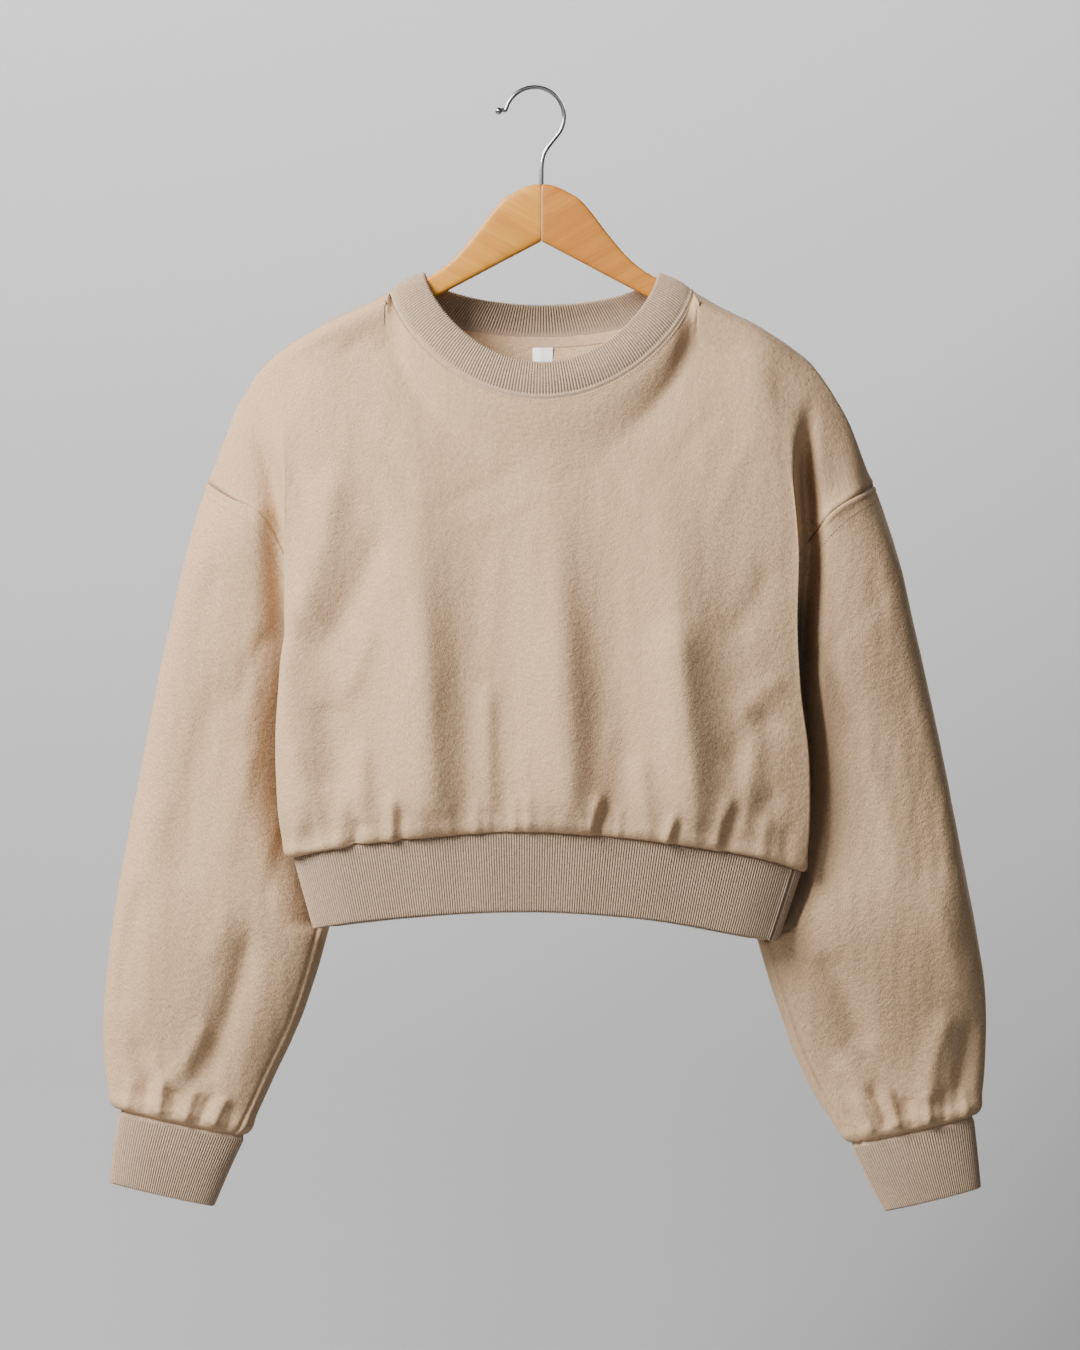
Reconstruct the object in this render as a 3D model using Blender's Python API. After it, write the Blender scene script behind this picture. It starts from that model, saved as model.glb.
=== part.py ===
"""Cropped crew-neck sweatshirt hanging on a wooden hanger with a wire hook.

Metres, +Z up, +X to the garment's left as it faces the viewer, front towards -Y. The origin is the
point under the top of the hook where a rod bears. The tables are in millimetres: `drop` is the
distance below the rod, `x` is measured from the rod and `y` is negative towards the front.
Every piece of cloth is a closed wall: a grid of outer points and the same grid moved inwards.
"""
import math

import bmesh
import bpy
from mathutils import Vector

MM = 0.001

# ---- driving sizes, millimetres ---------------------------------------------------------------
CENTRE_X = 5.6              # centre line of garment and hanger, beside the rod
FLEECE = 2.0                # thickness of the fleece wall
RIB = 2.6                   # thickness of the doubled rib knit, without its raised ribs
RIB_RAISE = 0.7             # height of a raised rib
BAND_DROP = 1.8             # the waistband's top below the end of the fleece
SEAM_GAP = 0.3              # each piece stops this far short of its seam line
NECK_CURVE = 1.43           # how full the front neckline is at its sides
NECK_WRAP = 0.72            # how squarely the collar passes over the hanger, seen from above

ARM_ROWS = 13               # rows of the panels along an armhole
SLEEVE_ROWS = 13            # rows of a sleeve between armhole and cuff
SIDE_ROWS = 9               # rows of the panels along a side seam
FIRST_ROW = 0.008           # the first row below the shoulder seam, where the cloth turns down
CROTCH_ROWS = 4             # rows by the armpit where sleeve and body turn away from each other
ARM_SHARE = 0.65            # share of a panel's height at its armhole
NECK_SHARE = 0.42           # share of half a panel's width at the neckline
EDGE_SHARE = 0.78           # where the front turns back, as a share of half its width


class Table:
    """Rows of named columns, read smoothly at any value of the first column."""

    def __init__(self, columns, *rows):
        self.columns = columns.split()
        self.rows = rows
        self.keys = [row[0] for row in rows]

    def at(self, name, key):
        column = self.columns.index(name)
        keys = self.keys
        key = min(max(key, keys[0]), keys[-1])
        i = max(k for k in range(len(keys) - 1) if keys[k] <= key)
        values = [row[column] for row in self.rows]

        def slope(k):
            low, high = max(k - 1, 0), min(k + 1, len(keys) - 1)
            return (values[high] - values[low]) / (keys[high] - keys[low])

        span = keys[i + 1] - keys[i]
        t = (key - keys[i]) / span
        return (values[i] * (1 + 2 * t) * (1 - t) ** 2 + slope(i) * span * t * (1 - t) ** 2
                + values[i + 1] * t * t * (3 - 2 * t) + slope(i + 1) * span * t * t * (t - 1))


# The turned edge of the body front, and how far the cloth stands out in front and behind.
BODY = Table(
    "drop   left    right  chest  edge   back  back_left back_right",
    (205, -212.0, 218.0,  -22,  -12,   18,  -210,  216),
    (247, -209.4, 210.0,  -38,  -26,   20,  -204,  208),
    (286, -201.5, 206.0,  -50,  -38,   22,  -196,  201),
    (358, -200.3, 211.5,  -60,  -46,   23,  -180,  190),
    (422, -198.3, 210.5,  -64,  -48,   22,  -160,  170),
    (474, -202.3, 213.5,  -66,  -48,   22,  -145,  155),
    (520, -205.4, 219.0,  -67,  -47,   23,  -148,  160),
    (560, -204.2, 220.0,  -67,  -46,   24,  -156,  170),
    (590, -199.1, 216.6,  -64,  -42,   23,  -164,  180),
    (618, -190.7, 211.4,  -56,  -34,   20,  -172,  190))
# The shoulder seam from the collar out to the armhole, one side each.
SHOULDER = Table(
    "share  left_x  left_drop  right_x  right_drop  y",
    (0.00, -116.0, 162.0,  127.2, 162.0,   2),
    (0.20, -146.0, 175.6,  157.5, 177.5,   0),
    (0.40, -176.6, 190.7,  187.5, 192.6,   0),
    (0.55, -205.0, 206.6,  214.5, 207.0,   0),
    (0.66, -222.5, 221.5,  231.8, 221.5,   1),
    (0.80, -240.0, 254.5,  250.6, 259.5,   3),
    (0.90, -252.0, 287.0,  262.4, 291.0,   5),
    (1.00, -262.2, 315.0,  272.1, 316.6,   6))
# The armhole seam from the shoulder down to the armpit: front run and back run.
ARMHOLE = Table(
    "share  left_x  left_drop  right_x  right_drop  front_y  back_y",
    (0.00, -262.2, 315.0,  272.1, 316.6,    6,   6),
    (0.12, -243.0, 327.0,  259.5, 324.5,  -18,  28),
    (0.25, -222.7, 336.3,  240.5, 336.0,  -32,  36),
    (0.34, -211.3, 347.5,  227.0, 349.5,  -34,  38),
    (0.50, -197.0, 378.0,  209.0, 380.0,  -26,  36),
    (0.68, -184.0, 412.0,  195.0, 414.0,  -17,  32),
    (0.86, -173.0, 450.0,  183.5, 452.0,  -12,  24),
    (0.95, -168.5, 468.0,  178.5, 470.0,   -5,  15),
    (1.00, -167.0, 474.0,  177.0, 476.0,    5,   5))
# The side seam from the armpit down to the waistband.
SIDE = Table(
    "share  left_x  left_drop  right_x  right_drop  y",
    (0.00, -167.0, 474.0,  177.0, 476.0,    5),
    (0.25, -180.0, 510.0,  192.0, 512.0,  -12),
    (0.50, -190.0, 547.0,  204.0, 549.0,  -18),
    (0.75, -192.0, 583.0,  208.0, 588.0,  -18),
    (1.00, -186.5, 612.0,  207.5, 623.0,  -15))
# The seam between body and waistband, and the waistband's lower edge, across the front.
HEM = Table(
    "x      top    bottom",
    (-192, 612.4, 673.0),
    (-140, 602.6, 664.0),
    (-64,  595.0, 657.0),
    (0,    592.8, 655.2),
    (56,   596.0, 658.0),
    (106,  601.3, 663.5),
    (174,  612.4, 676.5),
    (212,  624.0, 684.0))
# Depth of the collar at its seam and at its edge, front and back, and how low each hangs.
NECK = Table(
    "height  half  front_drop  back_drop  front_y  back_y  side_drop",
    (0.0, 121.6, 249.6, 195.8, -47, 34, 161.4),
    (0.5, 108.5, 234.8, 184.0, -46, 32, 152.5),
    (1.0,  94.0, 220.4, 170.8, -41, 27, 146.6))
# The sleeves: outer and underarm edge of each section, and where it lies in depth.
LEFT_SLEEVE = Table(
    "share   outer_x outer_drop inner_x inner_drop  y   half_depth",
    (0.16, -283.0, 384.0, -160.0, 508.0,  29, 24),
    (0.30, -299.5, 458.0, -156.0, 545.0,  43, 23),
    (0.44, -315.0, 538.0, -155.0, 592.0,  48, 23),
    (0.58, -329.4, 612.6, -159.0, 640.0,  46, 24),
    (0.70, -340.0, 676.0, -170.4, 692.0,  40, 26),
    (0.81, -346.3, 730.8, -187.5, 745.0,  32, 27),
    (0.90, -346.6, 777.0, -208.5, 790.0,  29, 26),
    (0.96, -342.0, 806.0, -224.0, 824.0,  27, 23),
    (1.00, -334.3, 819.0, -234.0, 840.0,  25, 18))
RIGHT_SLEEVE = Table(
    "share   outer_x outer_drop inner_x inner_drop  y   half_depth",
    (0.16,  295.0, 389.0,  170.0, 510.0,  29, 24),
    (0.30,  310.9, 459.0,  166.0, 548.0,  43, 23),
    (0.44,  328.5, 540.0,  165.0, 594.0,  48, 23),
    (0.58,  342.3, 612.6,  170.0, 642.0,  46, 24),
    (0.70,  354.5, 676.0,  182.5, 694.0,  40, 26),
    (0.81,  362.3, 730.0,  200.0, 748.0,  32, 27),
    (0.90,  363.0, 780.0,  220.5, 797.0,  29, 26),
    (0.96,  359.6, 810.0,  240.0, 829.0,  27, 23),
    (1.00,  353.8, 824.0,  255.5, 846.0,  25, 18))
# The cuffs: both edges of their top and bottom rings.
LEFT_CUFF = Table(
    "share  outer_x outer_drop inner_x inner_drop  y  half_depth",
    (0.0, -333.5, 821.0, -234.4, 842.0, 25, 16),
    (0.5, -338.6, 850.0, -246.0, 867.0, 26, 17),
    (1.0, -341.0, 876.6, -258.2, 895.4, 26, 16))
RIGHT_CUFF = Table(
    "share  outer_x outer_drop inner_x inner_drop  y  half_depth",
    (0.0,  353.0, 826.0,  256.0, 848.0, 25, 16),
    (0.5,  356.0, 854.0,  268.0, 873.0, 26, 17),
    (1.0,  358.6, 880.6,  282.3, 899.4, 26, 16))
# The largest folds of the front: a trough (negative) or ridge from one point to another.
FRONT_FOLDS = (
    # x0, drop0, x1, drop1, half width, height
    (-60, 330, -66, 570, 17, -7.0),
    (-76, 380, -84, 580, 13, 5.0),
    (44, 300, 48, 575, 16, -6.0),
    (28, 330, 33, 585, 12, 4.0),
    (132, 350, 146, 590, 16, -6.0),
    (-122, 370, -176, 470, 18, -5.0),
    (-160, 480, -166, 560, 16, -4.0),
    (186, 500, 156, 545, 14, -3.5),
    (-20, 500, -14, 588, 10, -3.0),
    (100, 520, 92, 590, 11, 3.0))
BACK_FOLDS = (
    (-70, 300, -80, 585, 18, -5.0),
    (20, 330, 12, 590, 17, -5.5),
    (92, 320, 110, 590, 18, -5.0),
    (-130, 400, -150, 590, 16, -4.0))
LEFT_FOLDS = (
    (-196, 640, -262, 800, 13, -5.0),
    (-230, 700, -290, 812, 11, 3.5),
    (-320, 620, -336, 750, 12, -4.0),
    (-262, 480, -280, 640, 16, -3.5))
RIGHT_FOLDS = (
    (340, 640, 338, 818, 10, -5.0),
    (240, 780, 268, 826, 12, 5.0),
    (232, 690, 262, 800, 15, -4.0),
    (292, 470, 320, 640, 16, -3.5))
LABEL_SHARES = (-0.018, 0.034)  # the label, as shares of half the back's width
PUFF = 52.0                 # how far a sleeve swells forward beside the body
PUFF_GAP = 5.0              # clear gap between the turned edge of the front and that swelling
PUFF_RISE = 26.0            # width over which the sleeve comes forward
ARMPIT_EASE = Vector((0, 7.0, 1.5))  # how far the sleeve stands off the body at the armpit
# Ends of the hook's wire: a round arc, a short sweep and a straight shank.
HOOK_RADIUS = 23.6          # centre line of the hook's arc
WIRE_RADIUS = 1.7
HOOK_START = 197.0          # degrees, from +X, where the arc starts at its open side
HOOK_END = -42.0
# The hanger's arms: upper and lower edge from the middle to the tip.
ARM = Table(
    "out   top    bottom",
    (0.0,   75.8, 121.7),
    (9.0,   76.9, 126.4),
    (20.0,  81.6, 132.2),
    (33.0,  90.2, 139.0),
    (54.0, 116.6, 150.1),
    (68.0, 133.2, 157.4),
    (79.0, 143.0, 163.2),
    (95.0, 153.0, 171.5),
    (112.0, 164.6, 180.4),
    (160.0, 189.5, 206.0),
    (184.0, 203.0, 220.0),
    (192.0, 209.0, 221.0))
ARM_THICK = 10.0
GLUE_GAP = 0.15


def place(x, y, drop):
    """Table millimetres to a point in metres."""
    return Vector((x, y, -drop)) * MM


def ease(t):
    t = min(max(t, 0.0), 1.0)
    return t * t * (3 - 2 * t)


def mix(a, b, t):
    return a + (b - a) * t


def swell(t):
    """Rise steeply from 0 and level off at 1, as a quarter of a circle does."""
    t = min(max(t, 0.0), 1.0)
    return math.sqrt(1 - (1 - t) ** 2)


def fold_height(folds, x, drop):
    """Sum of the soft troughs and ridges at a point of a panel, in millimetres."""
    total = 0.0
    for x0, drop0, x1, drop1, half, height in folds:
        along_x, along_z = x1 - x0, drop1 - drop0
        length2 = along_x ** 2 + along_z ** 2
        t = ((x - x0) * along_x + (drop - drop0) * along_z) / length2
        near = min(max(t, 0.0), 1.0)
        gap = math.hypot(x - x0 - near * along_x, drop - drop0 - near * along_z)
        taper = ease(min(near, 1 - near) * 4 + 0.25) if 0 < t < 1 else ease(0.25)
        total += height * taper * math.exp(-(gap / half) ** 2)
    return total


def neck_point(side, height, turn):
    """A point of the collar: turn 0 is the shoulder, 1 the centre; side 'front' or 'back'."""
    angle = turn * math.pi / 2
    across = NECK.at("half", height) * math.cos(angle)
    sag = math.sin(angle) ** (NECK_CURVE if side == "front" else 1.2)
    drop = mix(NECK.at("side_drop", height), NECK.at(side + "_drop", height), sag)
    depth = mix(1.0, NECK.at(side + "_y", height), math.sin(angle) ** NECK_WRAP)
    return across, depth, drop


def spline(points, t):
    """A smooth curve through points given as (key, Vector), read at t."""
    keys = [key for key, _ in points]
    i = max(k for k in range(len(keys) - 1) if keys[k] <= t + 1e-9)

    def slope(k):
        low, high = max(k - 1, 0), min(k + 1, len(keys) - 1)
        return (points[high][1] - points[low][1]) / (keys[high] - keys[low])

    span = keys[i + 1] - keys[i]
    u = (t - keys[i]) / span
    return (points[i][1] * (1 + 2 * u) * (1 - u) ** 2 + slope(i) * span * u * (1 - u) ** 2
            + points[i + 1][1] * u * u * (3 - 2 * u) + slope(i + 1) * span * u * u * (u - 1))


def panel_top(side, hand, s):
    """The upper boundary of half a panel: neckline out to the shoulder, then the shoulder seam."""
    if s < NECK_SHARE:
        across, depth, drop = neck_point(side, 0.0, 1 - s / NECK_SHARE)
        sign = -1 if hand == "left" else 1
        return Vector((CENTRE_X + sign * across, depth, drop))
    share = (s - NECK_SHARE) / (1 - NECK_SHARE)
    return Vector((SHOULDER.at(hand + "_x", share), SHOULDER.at("y", share),
                   SHOULDER.at(hand + "_drop", share)))


def panel_side(side, hand, v):
    """The outer boundary of half a panel: armhole seam, then side seam."""
    if v < ARM_SHARE:
        share = v / ARM_SHARE
        return Vector((ARMHOLE.at(hand + "_x", share), ARMHOLE.at(side + "_y", share),
                       ARMHOLE.at(hand + "_drop", share)))
    share = (v - ARM_SHARE) / (1 - ARM_SHARE)
    return Vector((SIDE.at(hand + "_x", share), SIDE.at("y", share),
                   SIDE.at(hand + "_drop", share)))


def panel_guides(side, hand, v, top_guides):
    """Guide points across half a panel at height share v, from the centre to its side."""
    front = side == "front"
    guides = []
    for s, start in top_guides:
        if s == 1.0:
            guides.append((s, panel_side(side, hand, v)))
            continue
        edge_drop = mix(206.6, 616.0, v)
        edge_x = BODY.at(hand if front else "back_" + hand, edge_drop)
        hem_x = mix(CENTRE_X, edge_x, {0.0: 0.0, 0.21: 0.30, 0.42: 0.58, 0.62: 0.84}.get(s, 1.0))
        face = BODY.at("chest" if front else "back", edge_drop)
        if s < 0.7:
            x = mix(start.x, hem_x, ease(v * 1.25))
            low = HEM.at("top", hem_x)
            drop = mix(start.z, low, v)
            face = BODY.at("chest" if front else "back", drop)
            lens = 1 - 0.16 * (abs(x - CENTRE_X) / 205) ** 3
            fall = 1 - math.exp(-(drop - start.z) / mix(45, 4.5, min(s / NECK_SHARE, 1)))
            y = mix(start.y, face * lens, fall)
        elif s == EDGE_SHARE:
            x, drop = edge_x, mix(start.z, HEM.at("top", hem_x), v)
            y = mix(start.y, BODY.at("edge", edge_drop) if front else face * 0.6, swell(v * 5))
        else:
            seam = panel_side(side, hand, v)
            inward = -1 if hand == "right" else 1
            tuck = ease((v - 0.03) * 5) * (1 - ease((v - 0.30) * 4))
            x = mix(edge_x, seam.x, 0.5) + inward * (6 if front else 3) * tuck
            drop = mix(mix(start.z, HEM.at("top", edge_x), v), seam.z, 0.5)
            deep = BODY.at("edge", edge_drop) if front else face * 0.6
            y = mix(deep, seam.y, 0.5) + (8 if front else -4) * tuck
            x = mix(start.x, x, ease(v * 6))
            drop = mix(start.z, drop, ease(v * 6 + 0.2))
            y = mix(start.y, y, swell(v * 5))
        guides.append((s, Vector((x, y, drop))))
    return guides


def panel_point(side, hand, s, v):
    """A point on the outside of the front or back panel, in millimetres (x, y, drop)."""
    knots = (0.0, 0.21, 0.42, 0.62, EDGE_SHARE, 0.89, 1.0)
    tops = [(k, panel_top(side, hand, k)) for k in knots]
    point = spline(panel_guides(side, hand, v, tops), s)
    point += (panel_top(side, hand, s) - spline(tops, s)) * (1 - ease(v * 1.6))
    point.z += (HEM.at("top", point.x) - point.z) * ease((v - 0.8) * 5)
    folds = FRONT_FOLDS if side == "front" else BACK_FOLDS
    calm = ease((EDGE_SHARE - s) * 8) * ease((1 - v) * 14)
    push = fold_height(folds, point.x, point.z) * calm
    point.y += -push if side == "front" else push
    return point


def outward(points, closed_u, flip):
    """The outward direction at every point of a grid of points, by its neighbours."""
    rows, columns = len(points), len(points[0])
    normals = []
    for j in range(rows):
        line = []
        for i in range(columns):
            left, right = (i - 1) % columns, (i + 1) % columns
            if not closed_u:
                left, right = max(i - 1, 0), min(i + 1, columns - 1)
            up, down = max(j - 1, 0), min(j + 1, rows - 1)
            across = points[j][right] - points[j][left]
            along = points[down][i] - points[up][i]
            line.append(across.cross(along).normalized() * (-1 if flip else 1))
        normals.append(line)
    return normals


def soften(normals, closed_u, times=2):
    """Average each direction with its neighbours, so that tight bends keep a clean inside."""
    rows, columns = len(normals), len(normals[0])
    for _ in range(times):
        fresh = []
        for j in range(rows):
            line = []
            for i in range(columns):
                left, right = (i - 1) % columns, (i + 1) % columns
                if not closed_u:
                    left, right = max(i - 1, 0), min(i + 1, columns - 1)
                total = (normals[j][i] * 2 + normals[j][left] + normals[j][right]
                         + normals[max(j - 1, 0)][i] + normals[min(j + 1, rows - 1)][i])
                line.append(total.normalized())
            fresh.append(line)
        normals = fresh
    return normals


def wall(name, outer, inner, closed_u, material):
    """A closed wall between two grids of points; each grid is rows of columns."""
    mesh = bmesh.new()
    layers = [[[mesh.verts.new(p) for p in row] for row in grid] for grid in (outer, inner)]
    rows, columns = len(outer), len(outer[0])
    last = columns if closed_u else columns - 1
    for k, layer in enumerate(layers):
        for j in range(rows - 1):
            for i in range(last):
                n = (i + 1) % columns
                face = (layer[j][i], layer[j][n], layer[j + 1][n], layer[j + 1][i])
                mesh.faces.new(face if k == 0 else face[::-1])
    for j in (0, rows - 1):
        for i in range(last):
            n = (i + 1) % columns
            mesh.faces.new((layers[0][j][i], layers[0][j][n], layers[1][j][n], layers[1][j][i]))
    if not closed_u:
        for i in (0, columns - 1):
            for j in range(rows - 1):
                mesh.faces.new((layers[0][j][i], layers[0][j + 1][i],
                                layers[1][j + 1][i], layers[1][j][i]))
    bmesh.ops.recalc_face_normals(mesh, faces=mesh.faces)
    bmesh.ops.triangulate(mesh, faces=mesh.faces)
    return add_object(name, mesh, material)


def add_object(name, mesh, material):
    data = bpy.data.meshes.new(name)
    mesh.to_mesh(data)
    mesh.free()
    data.shade_smooth()
    data.set_sharp_from_angle(angle=math.radians(45))
    data.materials.append(material)
    thing = bpy.data.objects.new(name, data)
    bpy.context.scene.collection.objects.link(thing)
    return thing


def finish(name, colour, roughness, metallic=0.0):
    material = bpy.data.materials.new(name)
    material.use_nodes = True
    shader = material.node_tree.nodes["Principled BSDF"]
    shader.inputs["Base Color"].default_value = (*colour, 1.0)
    shader.inputs["Roughness"].default_value = roughness
    shader.inputs["Metallic"].default_value = metallic
    return material


def panel_shares():
    """Column shares over half a panel and row shares down it, closer at the turned edge."""
    columns = [NECK_SHARE * i / 6 for i in range(7)]
    columns += [mix(NECK_SHARE, 0.70, i / 5) for i in range(1, 6)]
    columns += [0.74, EDGE_SHARE, 0.82, 0.86, 0.90, 0.95, 1.0]
    even = [i / (ARM_ROWS - 1) for i in range(1, ARM_ROWS)]
    rows = [0.0, FIRST_ROW] + [ARM_SHARE * mix(t, ease(t), 0.6) for t in even]
    rows += [mix(ARM_SHARE, 1, i / SIDE_ROWS) for i in range(1, SIDE_ROWS + 1)]
    return columns, rows


def panel_grid(side):
    """Outer points of a whole panel, left seam to right seam, pulled back from every seam."""
    columns, rows = panel_shares()
    grid = []
    for v in rows:
        left = [place(*panel_point(side, "left", s, v)) for s in reversed(columns)]
        right = [place(*panel_point(side, "right", s, v)) for s in columns[1:]]
        grid.append(left + right)
    return grid


def pull_back(points, closed_u, gap=SEAM_GAP * MM):
    """Move the border of a grid a little towards its inside, along the surface."""
    rows = len(points)
    columns = len(points[0])
    moved = [row[:] for row in points]
    for i in range(columns):
        for edge, inside in ((0, 1), (rows - 1, rows - 2)):
            step = points[inside][i] - points[edge][i]
            moved[edge][i] = moved[edge][i] + step.normalized() * gap
    if not closed_u:
        for j in range(rows):
            for edge, inside in ((0, 1), (columns - 1, columns - 2)):
                step = points[j][inside] - points[j][edge]
                moved[j][edge] = moved[j][edge] + step.normalized() * gap
    return moved


def inside(points, normals, thickness):
    return [[p - n * thickness * MM for p, n in zip(row, line)]
            for row, line in zip(points, normals)]


def sleeve_ring(table, share, angle):
    """A point of a sleeve or cuff section; angle 0 is the outer edge, 90 degrees the front."""
    outer = Vector((table.at("outer_x", share), 0, table.at("outer_drop", share)))
    inner = Vector((table.at("inner_x", share), 0, table.at("inner_drop", share)))
    middle, reach = (outer + inner) / 2, (outer - inner) / 2
    depth = table.at("half_depth", share)
    round_y = math.copysign(abs(math.sin(angle)) ** 0.8, math.sin(angle))
    return middle + reach * math.cos(angle) + Vector((0, table.at("y", share)
                                                      - depth * round_y, 0))


def armhole_loop(hand, turn):
    """The armhole seam once round: 0 the shoulder, 0.5 the armpit, front first."""
    side, share = ("front", turn * 2) if turn <= 0.5 else ("back", 2 - turn * 2)
    return panel_side(side, hand, share * ARM_SHARE)


def puff(hand, point, front, share):
    """How far forward a sleeve lies where it is clear of the turned edge of the body."""
    edge = BODY.at(hand, point.z)
    beyond = abs(point.x) - abs(edge) - PUFF_GAP
    along = ease((share - 0.03) / 0.16) * ease((0.94 - share) / 0.34)
    return PUFF * along * ease(beyond / PUFF_RISE) * (0.5 + 0.5 * ease(0.5 + front * 0.7))


def sleeve_point(hand, turn, share):
    """A point on the outside of a sleeve, in millimetres (x, y, drop)."""
    table = LEFT_SLEEVE if hand == "left" else RIGHT_SLEEVE
    angle = turn * 2 * math.pi
    first = table.keys[0]
    if share < first:
        start = armhole_loop(hand, turn) + ARMPIT_EASE * ease(1 - abs(turn - 0.5) / 0.16)
        end = sleeve_ring(table, first, angle)
        after = sleeve_ring(table, first + 0.08, angle)
        slope = (after - end) / 0.08 * first
        t = share / first
        lead = mix(start, end, t) + (t * t - t) * (slope - (end - start)) * 0.55
        point = lead
    else:
        point = sleeve_ring(table, share, angle)
    folds = LEFT_FOLDS if hand == "left" else RIGHT_FOLDS
    front = math.sin(angle)
    calm = ease(share * 6) * ease((1 - share) * 20)
    point.y -= fold_height(folds, point.x, point.z) * front * calm
    point.y -= puff(hand, point, front, share)
    return point


def armhole_shares():
    """Turns round the armhole at which panels and sleeve share their points."""
    _, rows = panel_shares()
    run = [v / ARM_SHARE / 2 for v in rows[:ARM_ROWS + 1]]
    return run + [1 - t for t in reversed(run[1:-1])]


def share_normals(first, second):
    """Give the points on both sides of a seam one direction, the mean of the two."""
    for (row_a, i), (row_b, k) in zip(first, second):
        mean = (row_a[i] + row_b[k])
        if mean.length > 1e-6:
            row_a[i] = row_b[k] = mean.normalized()


def make_cloth(fleece, rib):
    """Front, back and both sleeves, sharing the direction of their walls along each seam."""
    grids = {side: panel_grid(side) for side in ("front", "back")}
    normals = {"front": soften(outward(grids["front"], False, True), False, 1),
               "back": soften(outward(grids["back"], False, False), False, 1)}
    columns, rows = panel_shares()
    last = len(grids["front"][0]) - 1
    neck_columns = sum(1 for s in columns if s < NECK_SHARE - 1e-6)
    centre = len(columns) - 1
    shoulder = [i for i in range(last + 1) if abs(i - centre) >= neck_columns]
    share_normals([(normals["front"][0], i) for i in shoulder],
                  [(normals["back"][0], i) for i in shoulder])
    below = range(ARM_ROWS, len(rows))
    for i in (0, last):
        share_normals([(normals["front"][j], i) for j in below],
                      [(normals["back"][j], i) for j in below])
    turns = armhole_shares()
    lengths = [(k / SLEEVE_ROWS) ** 1.1 for k in range(SLEEVE_ROWS + 1)]
    for hand, i in (("left", 0), ("right", last)):
        points = [[place(*sleeve_point(hand, t, share)) for t in turns] for share in lengths]
        line = soften(outward(points, True, hand == "left"), True)
        ring = points[0]
        middle = sum(ring, Vector()) / len(ring)
        low = ARM_ROWS
        for k in range(len(turns)):
            side = "front" if k <= low else "back"
            j = k if k <= low else len(turns) - k
            if abs(k - low) < CROTCH_ROWS:
                continue
            radial = (ring[k] - middle).normalized()
            mean = (line[0][k] + normals[side][j][i] + radial * 0.4).normalized()
            line[0][k] = mean
            normals[side][j][i] = mean
            if k == 0:
                normals["back"][j][i] = mean
        outer = pull_back(points, True)
        wall("sleeve_" + hand, outer, inside(outer, line, FLEECE), True, fleece)
        make_cuff(hand, rib)
    for side in ("front", "back"):
        normals[side][-1] = normals[side][-2]
        outer = pull_back(grids[side], False)
        wall("panel_" + side, outer, inside(outer, normals[side], FLEECE), False, fleece)


def ribbed(points, normals, raise_by):
    """Raise every other column of a closed ring of points, apart from its two borders."""
    out = []
    for j, (row, line) in enumerate(zip(points, normals)):
        flat = j in (0, len(points) - 1)
        out.append([p if flat or i % 2 else p + n * raise_by * MM
                    for i, (p, n) in enumerate(zip(row, line))])
    return out


def make_band(name, point, columns, heights, flip, material):
    """A closed ring of rib knit through point(turn, height)."""
    outer = [[place(*point(i / columns, h)) for i in range(columns)] for h in heights]
    normals = outward(outer, True, flip)
    outer = pull_back(outer, True, 0.6 * MM)
    inner = inside(outer, normals, RIB)
    return wall(name, ribbed(outer, normals, RIB_RAISE), inner, True, material)


def make_cuff(hand, rib):
    table = LEFT_CUFF if hand == "left" else RIGHT_CUFF
    make_band("cuff_" + hand, lambda turn, h: sleeve_ring(table, h, turn * 2 * math.pi),
              48, (0.0, 0.06, 0.94, 1.0), hand == "left", rib)


def waist_point(turn, height):
    """A point of the waistband: once round from the left side seam over the front."""
    side = "front" if turn <= 0.5 else "back"
    across = turn * 2 if side == "front" else 2 - turn * 2
    angle = math.pi * across
    half_top, half_low = 198.6, 181.6
    middle = mix(10.4, 8.8, height)
    half = mix(half_top, half_low, height)
    x = middle - half * math.copysign(abs(math.cos(angle)) ** 0.86, math.cos(angle))
    deep = mix(-55, -50, height) if side == "front" else mix(21, 19, height)
    y = mix(-15, deep, math.sin(angle) ** 0.62)
    top = HEM.at("top", x) + BAND_DROP
    low = HEM.at("bottom", x) + (0.0 if side == "front" else 4.0 * math.sin(angle))
    return Vector((x, y, mix(top, low, height)))


def collar_point(turn, height):
    """A point of the collar: once round from the left shoulder over the front."""
    side = "front" if turn <= 0.5 else "back"
    across = turn * 2 if side == "front" else 2 - turn * 2
    quarter = across * 2 if across <= 0.5 else 2 - across * 2
    reach, depth, drop = neck_point(side, height, quarter)
    sign = -1 if across <= 0.5 else 1
    return Vector((CENTRE_X + sign * reach, depth, drop))


def make_on_back(name, reach, v_top, v_low, lift, thick, steps, cloth):
    """A strip that lies on the inside of the back panel, made from the panel's points."""
    shares = [reach[0] + (reach[1] - reach[0]) * i / steps for i in range(steps + 1)]
    near = []
    for k in range(3):
        v = mix(v_top, v_low, k / 2)
        near.append([place(*panel_point("back", "left" if s < 0 else "right", abs(s), v))
                     for s in shares])
    normals = outward(near, False, False)
    wall(name, inside(near, normals, lift), inside(near, normals, lift + thick), False, cloth)


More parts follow.
